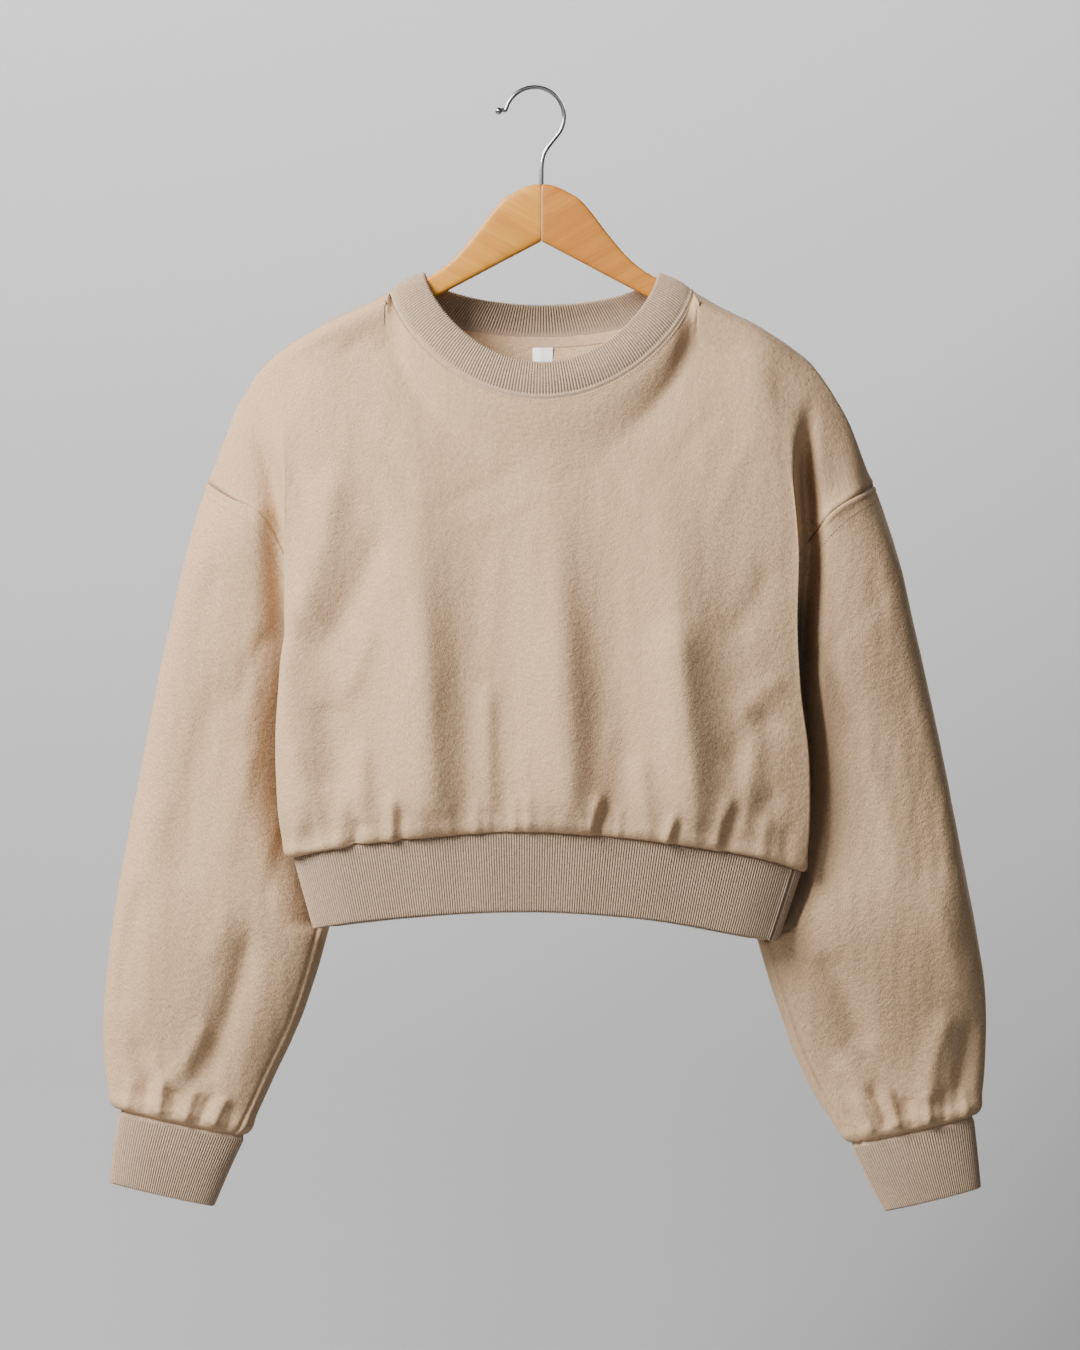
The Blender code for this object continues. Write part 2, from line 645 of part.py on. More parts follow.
def make_arm(hand, wood):
    """Half of the hanger's wood: one flat board with rounded edges and a round tip."""
    sign = -1 if hand == "left" else 1
    outs = [0.0, 9, 20, 33, 44, 54, 68, 79, 95, 112, 136, 160, 176, 184, 189, 192]
    rings = []
    for out in outs:
        top, low = ARM.at("top", out), ARM.at("bottom", out)
        close = 1.0 if out < 186 else 0.8 if out < 190 else 0.45
        middle, half = (top + low) / 2, (low - top) / 2 * close
        thick = ARM_THICK / 2 * (1.0 if out < 186 else 0.85 if out < 190 else 0.5)
        profile = [(-0.55, -1), (0.55, -1), (1, -0.86), (1, 0.86), (0.55, 1), (-0.55, 1),
                   (-1, 0.86), (-1, -0.86)]
        x = CENTRE_X + sign * (out + GLUE_GAP)
        rings.append([place(x, a * thick, middle + b * half) for a, b in profile])
    mesh = bmesh.new()
    loops = [[mesh.verts.new(p) for p in ring] for ring in rings]
    for near, far in zip(loops, loops[1:]):
        for i in range(len(near)):
            n = (i + 1) % len(near)
            mesh.faces.new((near[i], near[n], far[n], far[i]))
    mesh.faces.new(loops[0])
    mesh.faces.new(loops[-1])
    bmesh.ops.recalc_face_normals(mesh, faces=mesh.faces)
    bmesh.ops.triangulate(mesh, faces=mesh.faces)
    add_object("hanger_arm_" + hand, mesh, wood)


def hook_path():
    """Centre line of the wire from its open end over the arc down to the wood."""
    centre_drop = HOOK_RADIUS - WIRE_RADIUS
    path = [(-28.6, 17.4), (-25.6, 14.4)]
    steps = 18
    for i in range(steps + 1):
        angle = math.radians(mix(HOOK_START - 26, HOOK_END, i / steps))
        path.append((HOOK_RADIUS * math.cos(angle),
                     centre_drop - HOOK_RADIUS * math.sin(angle)))
    path += [(12.8, 43.4), (8.4, 49.6), (6.1, 56.0), (CENTRE_X, 63.0), (CENTRE_X, 75.3)]
    return [place(x, 0.0, drop) for x, drop in path]


def make_hook(chrome):
    """The hook's wire as a tube swept along its centre line, with a small ball at its end."""
    path = hook_path()
    sides = 8
    mesh = bmesh.new()
    rings = []
    for k, point in enumerate(path):
        ahead = path[min(k + 1, len(path) - 1)] - path[max(k - 1, 0)]
        across = ahead.cross(Vector((0, 1, 0))).normalized()
        ring = []
        for i in range(sides):
            angle = 2 * math.pi * i / sides
            offset = across * math.cos(angle) + Vector((0, 1, 0)) * math.sin(angle)
            ring.append(mesh.verts.new(point + offset * WIRE_RADIUS * MM))
        rings.append(ring)
    for near, far in zip(rings, rings[1:]):
        for i in range(sides):
            n = (i + 1) % sides
            mesh.faces.new((near[i], near[n], far[n], far[i]))
    mesh.faces.new(rings[0])
    mesh.faces.new(rings[-1])
    bmesh.ops.recalc_face_normals(mesh, faces=mesh.faces)
    hook = add_object("hook_wire", mesh, chrome)
    tip = bmesh.new()
    bmesh.ops.create_icosphere(tip, subdivisions=2, radius=2.9 * MM)
    bmesh.ops.translate(tip, verts=tip.verts, vec=path[0])
    ball = add_object("hook_ball", tip, chrome)
    joined = hook.modifiers.new("with_ball", "BOOLEAN")
    joined.operation = "UNION"
    joined.object = ball
    ball.hide_render = True
    ball.display_type = "WIRE"


def main():
    for thing in list(bpy.data.objects):
        bpy.data.objects.remove(thing)
    fleece = finish("fleece", (0.55, 0.44, 0.345), 0.95)
    rib = finish("rib_knit", (0.50, 0.40, 0.31), 0.95)
    tape_cloth = finish("neck_tape", (0.52, 0.41, 0.32), 0.95)
    label_cloth = finish("label_satin", (0.92, 0.91, 0.90), 0.6)
    wood = finish("beech", (0.64, 0.38, 0.17), 0.45)
    chrome = finish("chrome", (0.75, 0.75, 0.76), 0.15, 1.0)
    make_cloth(fleece, rib)
    make_band("waistband", waist_point, 150, (0.0, 0.05, 0.95, 1.0), True, rib)
    make_band("collar", collar_point, 140, (0.0, 0.08, 0.92, 1.0), True, rib)
    make_on_back("neck_tape", (-0.27, 0.27), 0.005, 0.023, FLEECE + 1.1, 0.8, 16, tape_cloth)
    make_on_back("neck_label", LABEL_SHARES, 0.027, 0.095, FLEECE + 1.3, 0.7, 4, label_cloth)
    for hand in ("left", "right"):
        make_arm(hand, wood)
    make_hook(chrome)


main()
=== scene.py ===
"""Looks of the cropped sweatshirt on its wooden hanger, in the frame of its solids.

Metres, +Z up, front towards -Y, origin under the top of the hook. The tables are in millimetres:
`drop` is the distance below the rod, `x` is measured from the rod and `y` is negative in front.
"""
import math

import bmesh
import bpy
import numpy as np
from mathutils import Matrix, Vector

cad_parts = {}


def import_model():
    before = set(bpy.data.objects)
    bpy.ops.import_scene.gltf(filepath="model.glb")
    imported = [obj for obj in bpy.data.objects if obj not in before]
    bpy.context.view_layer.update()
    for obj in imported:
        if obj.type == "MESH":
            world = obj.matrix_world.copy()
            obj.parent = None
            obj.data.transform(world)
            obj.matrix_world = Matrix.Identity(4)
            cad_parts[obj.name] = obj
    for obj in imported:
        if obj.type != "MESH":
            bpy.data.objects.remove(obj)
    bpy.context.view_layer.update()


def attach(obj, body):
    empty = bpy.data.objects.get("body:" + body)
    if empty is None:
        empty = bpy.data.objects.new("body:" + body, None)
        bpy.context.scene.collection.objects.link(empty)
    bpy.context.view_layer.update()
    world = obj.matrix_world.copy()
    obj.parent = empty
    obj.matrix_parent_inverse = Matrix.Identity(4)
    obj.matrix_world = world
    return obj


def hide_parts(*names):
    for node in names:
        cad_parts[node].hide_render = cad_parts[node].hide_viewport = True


MM = 0.001

# ---- driving sizes, millimetres ---------------------------------------------------------------
CENTRE_X = 5.6              # centre line of garment and hanger, beside the rod
FLEECE = 2.0                # thickness of the fleece
RIB = 2.8                   # thickness of the folded rib knit
NECK_CURVE = 1.43           # how full the front neckline is at its sides
NECK_WRAP = 0.85            # how squarely the collar passes over the hanger, seen from above
ARM_SHARE = 0.65            # share of a panel's height at its armhole
NECK_SHARE = 0.42           # share of half a panel's width at the neckline
EDGE_SHARE = 0.78           # where the front turns back, as a share of half its width
PUFF = 52.0                 # how far a sleeve swells forward beside the body
PUFF_GAP = 2.5              # how far beside the turned edge the right sleeve starts to rise
PUFF_RISE = 12.0            # width over which the right sleeve comes forward
KNOTS = (0.0, 0.07, 0.14, 0.21, 0.28, 0.34, 0.38, 0.42, 0.52, 0.62, EDGE_SHARE, 0.89, 1.0)
COLLAR_PITCH, WAIST_PITCH, CUFF_PITCH = 2.3, 1.96, 1.93   # one rib of the knit
COLLAR_TALL, WAIST_TALL, CUFF_TALL = 29.0, 62.0, 56.0     # folded heights of the bands
BAND_RELIEF, COLLAR_RELIEF = 0.6, 0.65                    # heights of the ribs
COARSE = 40                 # strips with fewer columns than this are not softened
LEAST_STEP = 0.4            # columns of a panel stay this far apart sideways
STITCH_RING = 6             # row of the sleeve that the armhole stitches follow
VALLEY = 17.0               # depth of the trough beside the turned edge of the front
MEAN_FOLD = 4.5             # the panels' folds lie this much lower, so that they keep their mean
TUCK = 5.0                  # how far a band runs on inside the cloth that it is sewn to
PLAIN_EDGE = 3.2            # the collar's ribs fade out this far above its seam


# ---- tables -----------------------------------------------------------------------------------
class Table:
    """Rows of named columns, read smoothly at any value or array of values of the first column."""

    def __init__(self, columns, *rows):
        names = columns.split()
        self.columns = dict(zip(names, np.array(rows, float).T))
        self.keys = self.columns[names[0]]
        self.slopes = {}
        for name, values in self.columns.items():
            ahead = np.append(values[1:], values[-1])
            behind = np.append(values[0], values[:-1])
            key_ahead = np.append(self.keys[1:], self.keys[-1])
            key_behind = np.append(self.keys[0], self.keys[:-1])
            self.slopes[name] = (ahead - behind) / (key_ahead - key_behind)

    def at(self, name, key):
        key = np.clip(np.asarray(key, float), self.keys[0], self.keys[-1])
        i = np.clip(np.searchsorted(self.keys, key, "right") - 1, 0, len(self.keys) - 2)
        values, slopes = self.columns[name], self.slopes[name]
        span = self.keys[i + 1] - self.keys[i]
        return hermite(values[i], values[i + 1], slopes[i] * span, slopes[i + 1] * span,
                       (key - self.keys[i]) / span)


def hermite(start, end, leave, arrive, t):
    return (start * (1 + 2 * t) * (1 - t) ** 2 + leave * t * (1 - t) ** 2
            + end * t * t * (3 - 2 * t) + arrive * t * t * (t - 1))


# The turned edge of the body front, and how far the cloth stands out in front and behind.
BODY = Table(
    "drop   left    right  chest  edge   back  back_left back_right",
    (205, -212.0, 218.0,  -22,  -12,   18,  -210,  216),
    (247, -209.4, 210.0,  -38,  -26,   20,  -204,  208),
    (286, -201.5, 206.0,  -50,  -38,   22,  -196,  201),
    (358, -200.3, 211.5,  -60,  -46,   23,  -180,  190),
    (422, -198.3, 210.5,  -64,  -48,   22,  -160,  170),
    (474, -202.3, 213.5,  -66,  -48,   22,  -145,  155),
    (520, -205.4, 219.0,  -67,  -47,   23,  -148,  160),
    (560, -204.2, 220.0,  -67,  -46,   24,  -156,  170),
    (590, -199.1, 216.6,  -64,  -42,   23,  -164,  180),
    (618, -190.7, 211.4,  -56,  -34,   20,  -172,  190))
# The shoulder seam from the collar out to the armhole, one side each.
SHOULDER = Table(
    "share  left_x  left_drop  right_x  right_drop  y",
    (0.00, -116.0, 162.0,  127.2, 162.0,   2),
    (0.20, -146.0, 175.6,  157.5, 177.5,   0),
    (0.40, -176.6, 190.7,  187.5, 192.6,   0),
    (0.55, -205.0, 206.6,  214.5, 207.0,   0),
    (0.66, -222.5, 221.5,  231.8, 221.5,   1),
    (0.80, -240.0, 254.5,  250.6, 259.5,   3),
    (0.90, -252.0, 287.0,  262.4, 291.0,   5),
    (1.00, -262.2, 315.0,  272.1, 316.6,   6))
# The armhole seam from the shoulder down to the armpit: front run and back run.
ARMHOLE = Table(
    "share  left_x  left_drop  right_x  right_drop  front_y  back_y",
    (0.00, -262.2, 315.0,  272.1, 316.6,    6,   6),
    (0.12, -243.0, 327.0,  259.5, 324.5,  -18,  28),
    (0.25, -222.7, 336.3,  240.5, 336.0,  -32,  36),
    (0.34, -211.3, 347.5,  227.0, 349.5,  -34,  38),
    (0.50, -197.0, 378.0,  209.0, 380.0,  -26,  36),
    (0.68, -184.0, 412.0,  195.0, 414.0,  -17,  32),
    (0.86, -173.0, 450.0,  183.5, 452.0,  -12,  24),
    (0.95, -168.5, 468.0,  178.5, 470.0,   -5,  15),
    (1.00, -167.0, 474.0,  177.0, 476.0,    5,   5))
# The side seam from the armpit down to the waistband.
SIDE = Table(
    "share  left_x  left_drop  right_x  right_drop  y",
    (0.00, -167.0, 474.0,  177.0, 476.0,    5),
    (0.25, -180.0, 510.0,  192.0, 512.0,  -12),
    (0.50, -190.0, 547.0,  204.0, 549.0,  -18),
    (0.75, -192.0, 583.0,  208.0, 588.0,  -18),
    (1.00, -186.5, 612.0,  207.5, 623.0,  -15))
# The seam between body and waistband, and the waistband's lower edge, across the front.
HEM = Table(
    "x      top    bottom",
    (-192, 612.4, 673.0),
    (-140, 602.6, 664.0),
    (-64,  595.0, 657.0),
    (0,    592.8, 655.2),
    (56,   596.0, 658.0),
    (106,  601.3, 663.5),
    (174,  612.4, 676.5),
    (212,  624.0, 684.0))
# Depth of the collar at its seam and at its edge, front and back, and how low each hangs.
NECK = Table(
    "height  half  front_drop  back_drop  front_y  back_y  side_drop",
    (0.0, 121.6, 249.6, 195.8, -47, 34, 161.4),
    (0.5, 108.5, 234.8, 184.0, -46, 32, 152.5),
    (1.0,  94.0, 220.4, 170.8, -41, 27, 146.6))
# The sleeves: outer and underarm edge of each section, and where it lies in depth.
LEFT_SLEEVE = Table(
    "share   outer_x outer_drop inner_x inner_drop  y   half_depth",
    (0.16, -283.0, 384.0, -160.0, 508.0,  29, 24),
    (0.30, -299.5, 458.0, -156.0, 545.0,  43, 23),
    (0.44, -315.0, 538.0, -155.0, 592.0,  48, 23),
    (0.58, -329.4, 612.6, -159.0, 640.0,  46, 24),
    (0.70, -340.0, 676.0, -170.4, 692.0,  40, 26),
    (0.81, -346.3, 730.8, -187.5, 745.0,  32, 27),
    (0.90, -346.6, 777.0, -208.5, 790.0,  29, 26),
    (0.96, -342.0, 806.0, -224.0, 824.0,  27, 23),
    (1.00, -334.3, 819.0, -234.0, 840.0,  25, 18))
RIGHT_SLEEVE = Table(
    "share   outer_x outer_drop inner_x inner_drop  y   half_depth",
    (0.16,  295.0, 389.0,  170.0, 510.0,  29, 24),
    (0.30,  310.9, 459.0,  166.0, 548.0,  43, 23),
    (0.44,  328.5, 540.0,  165.0, 594.0,  48, 23),
    (0.58,  342.3, 612.6,  170.0, 642.0,  46, 24),
    (0.70,  354.5, 676.0,  182.5, 694.0,  40, 26),
    (0.81,  362.3, 730.0,  200.0, 748.0,  32, 27),
    (0.90,  363.0, 780.0,  220.5, 797.0,  29, 26),
    (0.96,  359.6, 810.0,  240.0, 829.0,  27, 23),
    (1.00,  353.8, 824.0,  255.5, 846.0,  25, 18))
# The cuffs: both edges of their top and bottom rings.
LEFT_CUFF = Table(
    "share  outer_x outer_drop inner_x inner_drop  y  half_depth",
    (0.0, -333.5, 821.0, -234.4, 842.0, 25, 16),
    (0.5, -338.6, 850.0, -246.0, 867.0, 26, 17),
    (1.0, -341.0, 876.6, -258.2, 895.4, 26, 16))
RIGHT_CUFF = Table(
    "share  outer_x outer_drop inner_x inner_drop  y  half_depth",
    (0.0,  353.0, 826.0,  256.0, 848.0, 25, 16),
    (0.5,  356.0, 854.0,  268.0, 873.0, 26, 17),
    (1.0,  358.6, 880.6,  282.3, 899.4, 26, 16))
# The hanger's arms: upper and lower edge from the middle to the tip.
ARM = Table(
    "out   top    bottom",
    (0.0,   75.8, 121.7),
    (9.0,   76.9, 126.4),
    (20.0,  81.6, 132.2),
    (33.0,  90.2, 139.0),
    (54.0, 116.6, 150.1),
    (68.0, 133.2, 157.4),
    (79.0, 143.0, 163.2),
    (95.0, 153.0, 171.5),
    (112.0, 164.6, 180.4),
    (160.0, 189.5, 206.0),
    (184.0, 203.0, 220.0),
    (192.0, 209.0, 221.0))
ARM_THICK = 10.0

# Folds of the front: a trough (negative) or ridge from one point to another. `bow` is how far its
# middle bends to the right of that line, `left` and `right` are its half widths on each side.
# The columns are x0, drop0, x1, drop1, bow, left, right and height.
FRONT_FOLDS = (
    # the long drapes: a slow rise on the left, a steep fall on the right
    (-92, 250, -84, 604, -5, 44, 34, 11.0),
    (-92, 372, -80, 606, 3, 26, 20, 9.5),
    (12, 262, 26, 604, -4, 42, 30, 10.5),
    (18, 366, 30, 606, 3, 27, 19, 9.5),
    (98, 290, 124, 604, 5, 40, 30, 10.5),
    (110, 420, 131, 606, -3, 26, 19, 9.0),
    (-156, 300, -192, 440, 4, 22, 18, 7.0),
    (-196, 430, -180, 600, -6, 22, 24, 7.0),
    (-37, 470, -36, 600, 0, 13, 9, 4.2),
    (-8, 520, -6, 596, 0, 9, 12, 1.6),
    (-136, 520, -137, 606, 1, 13, 9, 4.2),
    (84, 530, 87, 604, 1, 13, 9, 4.4),
    (174, 500, 162, 606, 1, 15, 12, 4.4),
    (60, 500, 56, 598, 0, 10, 9, 1.4),
    # the diagonals from the armholes
    (-118, 350, -180, 462, 6, 17, 15, -4.6),
    (-130, 428, -150, 486, 3, 10, 9, 2.4),
    (-186, 396, -150, 452, -3, 9, 9, 1.6),
    (-168, 488, -162, 562, 4, 15, 16, -3.6),
    (-192, 520, -176, 590, 3, 9, 10, 1.8),
    (192, 498, 154, 546, -5, 13, 15, -3.4),
    (198, 470, 160, 505, -3, 10, 10, 1.8),
    (190, 380, 150, 440, 6, 13, 13, -2.2),
    (196, 560, 168, 590, -2, 10, 10, -2.0),
    # faint creases of the chest and shoulders
    (-78, 336, -4, 298, -4, 6, 8, -0.9),
    (-66, 352, 6, 322, -5, 7, 6, 0.7),
    (-150, 262, -96, 330, 7, 9, 9, -1.0),
    (-178, 276, -128, 352, 6, 8, 9, 0.9),
    (-196, 300, -170, 372, 3, 8, 8, -1.2),
    (150, 256, 104, 318, -6, 9, 9, -0.9),
    (182, 272, 140, 350, -5, 8, 9, 0.9),
    (60, 300, 96, 352, -4, 7, 7, -0.7),
    (-30, 370, -40, 470, 3, 9, 7, 0.9),
    (76, 380, 84, 500, -4, 9, 8, 0.9),
    (4, 350, 8, 450, 3, 8, 9, -0.7),
    (-104, 398, -96, 470, 3, 8, 8, -0.8),
)
# Sharp little folds that rise from the seam of the waistband.
FRONT_GATHERS = (
    (-190, 612, -186, 588, 0, 3.5, 4.5, 1.3),
    (-172, 609, -176, 580, 1, 3, 5, -1.2),
    (-154, 606, -148, 574, 1, 3.5, 6, 1.6),
    (-143, 604, -138, 588, 0, 4, 3, -1.9),
    (-128, 602, -126, 582, 0, 3, 4, 0.9),
    (-112, 601, -110, 572, 1, 2.6, 4.5, 1.8),
    (-105, 600, -103, 580, 0, 3, 3, -1.4),
    (-88, 598, -90, 578, 0, 3.5, 3.5, 0.8),
    (-66, 596, -67, 576, 0, 3, 4, 1.0),
    (-46, 595, -45, 574, 0, 3, 4, 1.2),
    (-31, 594, -32, 578, 0, 3, 3, -0.9),
    (-16, 593, -15, 572, 0, 2.6, 3, 1.3),
    (-4, 593, -5, 570, 0, 2.6, 3, 1.2),
    (15, 594, 17, 576, 0, 3, 4, -0.8),
    (38, 594, 37, 578, 0, 2.6, 3, 1.1),
    (44, 594, 53, 571, 1, 2.2, 4.5, 2.0),
    (50, 595, 59, 574, 1, 3.5, 3, -1.7),
    (66, 597, 68, 580, 0, 2.6, 3, 1.2),
    (86, 598, 84, 580, 0, 3.5, 3.5, -0.8),
    (104, 601, 110, 586, 0, 2.2, 4, 2.0),
    (110, 602, 116, 586, 0, 3, 3, -1.4),
    (128, 603, 126, 584, 0, 3, 4, 0.9),
    (143, 606, 156, 574, 2, 3, 5, 1.8),
    (152, 608, 164, 578, 2, 4, 4, -1.5),
    (180, 614, 186, 588, 1, 3.5, 5, 1.3),
    (199, 620, 202, 596, 0, 4, 4, -1.2),
)
BACK_FOLDS = (
    (-70, 280, -80, 592, 4, 15, 20, -5.0),
    (-88, 320, -98, 590, 3, 14, 9, 3.0),
    (20, 300, 12, 596, -4, 16, 17, -5.2),
    (36, 330, 33, 590, -3, 9, 15, 2.8),
    (92, 300, 112, 598, 6, 15, 18, -4.8),
    (-24, 360, -32, 590, 2, 12, 12, 2.4),
    (64, 400, 70, 590, -2, 12, 12, 2.2),
    (-128, 380, -150, 596, -5, 15, 16, -4.2),
    (140, 400, 152, 592, 4, 13, 12, 2.4),
    (-150, 262, -100, 330, 6, 9, 9, -1.0),
    (150, 262, 104, 330, -6, 9, 9, -1.1),
    (-60, 250, 20, 268, 4, 8, 8, -0.8),
    (-112, 604, -108, 576, 1, 3, 5, 1.6),
    (-60, 598, -64, 574, 0, 3, 4, 1.4),
    (-14, 596, -12, 572, 0, 3, 4, 1.3),
    (58, 598, 66, 574, 1, 3, 5, 1.7),
    (120, 604, 128, 580, 1, 3, 5, 1.5),
    (160, 610, 166, 586, 0, 4, 4, -1.3),
)
# Folds of the sleeves, front and back.
LEFT_FOLDS = (
    (-226, 668, -276, 802, 8, 12, 14, -6.0),
    (-244, 650, -262, 700, 2, 9, 9, 1.5),
    (-262, 744, -296, 800, 4, 9, 12, 3.4),
    (-310, 630, -334, 742, -5, 11, 13, -4.2),
    (-296, 560, -312, 660, -4, 11, 11, 1.8),
    (-250, 470, -284, 640, -6, 15, 17, -3.4),
    (-224, 520, -246, 620, -3, 12, 12, 2.0),
    (-206, 430, -240, 500, -5, 9, 10, -2.0),
    (-250, 380, -268, 450, -4, 10, 10, -1.4),
    (-196, 590, -214, 650, 0, 9, 9, -2.0),
    (-322, 760, -312, 812, 3, 8, 9, -2.6),
    (-304, 770, -296, 816, 1, 6, 6, 1.8),
)
LEFT_PUCKERS = (
    (-326, 818, -322, 798, 0, 3, 4, 1.4),
    (-312, 820, -308, 796, 1, 3, 4, -1.4),
    (-300, 822, -296, 798, 1, 2.6, 4, 1.7),
    (-290, 824, -288, 806, 0, 3, 3, -1.2),
    (-280, 828, -270, 806, 1, 2.6, 4, 1.6),
    (-270, 830, -256, 810, 1, 3, 3.5, -1.5),
    (-258, 831, -246, 812, 1, 3, 4, 1.7),
    (-247, 834, -240, 818, 0, 3, 3, -1.3),
)
RIGHT_FOLDS = (
    (350, 742, 337, 824, 2, 9, 9, -6.0),
    (331, 738, 314, 812, -2, 12, 8, 3.6),
    (240, 776, 284, 832, 4, 9, 9, 4.2),
    (254, 768, 300, 826, 5, 8, 8, -2.6),
    (226, 690, 262, 772, 5, 14, 14, -4.2),
    (292, 470, 324, 640, 6, 16, 16, -3.6),
    (262, 520, 290, 640, 4, 13, 13, 1.8),
    (338, 600, 352, 700, 3, 11, 11, -2.6),
    (318, 640, 338, 730, 3, 11, 11, 1.6),
    (224, 440, 256, 520, 4, 10, 10, -1.8),
    (266, 386, 282, 452, 4, 10, 10, -1.2),
    (206, 600, 222, 660, 0, 9, 9, -2.0),
)
RIGHT_PUCKERS = (
    (346, 826, 344, 806, 0, 3, 4, 1.5),
    (328, 829, 330, 806, 0, 3, 4, -1.4),
    (316, 831, 314, 808, 0, 2.6, 4, 1.6),
    (303, 832, 298, 812, 0, 3, 3, -1.3),
    (292, 832, 282, 806, -1, 2.6, 4, 1.8),
    (282, 833, 268, 806, -2, 3, 4, -2.0),
    (272, 836, 256, 812, -1, 3, 4, 1.7),
    (262, 842, 250, 822, 0, 3, 3, -1.2),
)


# ---- shapes of the cloth ----------------------------------------------------------------------
def ease(t):
    t = np.clip(t, 0.0, 1.0)
    return t * t * (3 - 2 * t)


def swell(t):
    """Rise steeply from 0 and level off at 1, as a quarter of a circle does."""
    return np.sqrt(1 - (1 - np.clip(t, 0.0, 1.0)) ** 2)


def mix(a, b, t):
    return a + (b - a) * t


def signed_power(values, power):
    return np.sign(values) * np.abs(values) ** power


def points(x, y, drop):
    """One array of points from arrays of x, y and drop."""
    x, y, drop = np.broadcast_arrays(x, y, drop)
    return np.stack([x, y, drop], -1).astype(float)


def fold_height(folds, x, drop):
    """Sum of the troughs and ridges at each point, in millimetres."""
    total = np.zeros_like(x)
    for x0, drop0, x1, drop1, bow, left, right, height in folds:
        run_x, run_z = x1 - x0, drop1 - drop0
        length = math.hypot(run_x, run_z)
        t = ((x - x0) * run_x + (drop - drop0) * run_z) / length ** 2
        near = np.clip(t, 0, 1)
        across = ((x - x0) * run_z - (drop - drop0) * run_x) / length
        across = across - bow * 4 * near * (1 - near)
        beyond = (t - near) * length
        half = np.where(across > 0, right, left) * mix(0.8, 1.1, near)
        gap = np.hypot(across / half, beyond / (0.5 * (left + right)))
        grow = near * (1.7 if length > 200 else 4) + (0.12 if length > 200 else 0.25)
        taper = ease(np.minimum(grow, (1 - near) * 4 + 0.3))
        total += height * taper * np.exp(-gap ** 1.8)
    return total


def widened(folds):
    """The same folds, wider and longer, the high ones more so than the low."""
    return [(x0, drop0, x1, drop0 + (drop1 - drop0) * 1.3, bow, left * 1.3, right * 1.3,
             height * abs(height) / 1.4)
            for x0, drop0, x1, drop1, bow, left, right, height in folds]


def ripple(x, drop, scale, seed):
    """Slow uneven swells, so that no stretch of cloth is quite flat: about -1 to 1."""
    dice = np.random.default_rng(seed)
    total = np.zeros_like(x)
    for _ in range(7):
        angle, phase = dice.uniform(-0.7, 0.7), dice.uniform(0, 2 * math.pi)
        pitch = scale * dice.uniform(0.7, 1.6)
        along = x * math.cos(angle) + drop * math.sin(angle) * 0.5
        total += np.sin(2 * math.pi * along / pitch + phase) / 7
    return total


def neck_point(side, height, turn):
    """Reach from the centre, depth and drop of the collar; turn 0 is the shoulder, 1 the centre."""
    angle = np.asarray(turn) * math.pi / 2
    across = NECK.at("half", height) * np.cos(angle)
    sag = np.sin(angle) ** (NECK_CURVE if side == "front" else 1.2)
    drop = mix(NECK.at("side_drop", height), NECK.at(side + "_drop", height), sag)
    depth = mix(1.0, NECK.at(side + "_y", height), np.sin(angle) ** NECK_WRAP)
    return across, depth, drop


def spline(keys, guides, t):
    """A smooth curve, without overshoot, through guide points at keys, read at an array t.

    It leaves its first point sideways, because the other half of the panel starts there.
    """
    keys, guides = np.array(keys), np.array(guides)
    i = np.clip(np.searchsorted(keys, t, "right") - 1, 0, len(keys) - 2)
    steps = np.diff(guides, axis=0) / np.diff(keys)[:, None]
    before, after = steps[:-1], steps[1:]
    same_way = before * after > 0
    even = 2 * before * after / np.where(same_way, before + after, 1)
    slopes = np.concatenate([steps[:1] * (1, 0, 0), np.where(same_way, even, 0), steps[-1:]])
    span = (keys[i + 1] - keys[i])[:, None]
    u = (np.asarray(t)[:, None] - keys[i][:, None]) / span
    return hermite(guides[i], guides[i + 1], slopes[i] * span, slopes[i + 1] * span, u)


def panel_top(side, hand, s):
    """The upper boundary of half a panel: neckline out to the shoulder, then the shoulder seam."""
    s = np.atleast_1d(s)
    sign = -1 if hand == "left" else 1
    across, depth, drop = neck_point(side, 0.0, 1 - np.minimum(s / NECK_SHARE, 1))
    neck = points(CENTRE_X + sign * across, depth, drop)
    share = np.maximum(s - NECK_SHARE, 0) / (1 - NECK_SHARE)
    shoulder = points(SHOULDER.at(hand + "_x", share), SHOULDER.at("y", share),
                      SHOULDER.at(hand + "_drop", share))
    return np.where((s < NECK_SHARE)[:, None], neck, shoulder)


def panel_side(side, hand, v):
    """The outer boundary of half a panel: armhole seam, then side seam."""
    v = np.atleast_1d(v)
    high, low = np.minimum(v / ARM_SHARE, 1), np.maximum(v - ARM_SHARE, 0) / (1 - ARM_SHARE)
    armhole = points(ARMHOLE.at(hand + "_x", high), ARMHOLE.at(side + "_y", high),
                     ARMHOLE.at(hand + "_drop", high))
    seam = points(SIDE.at(hand + "_x", low), SIDE.at("y", low), SIDE.at(hand + "_drop", low))
    return np.where((v < ARM_SHARE)[:, None], armhole, seam)


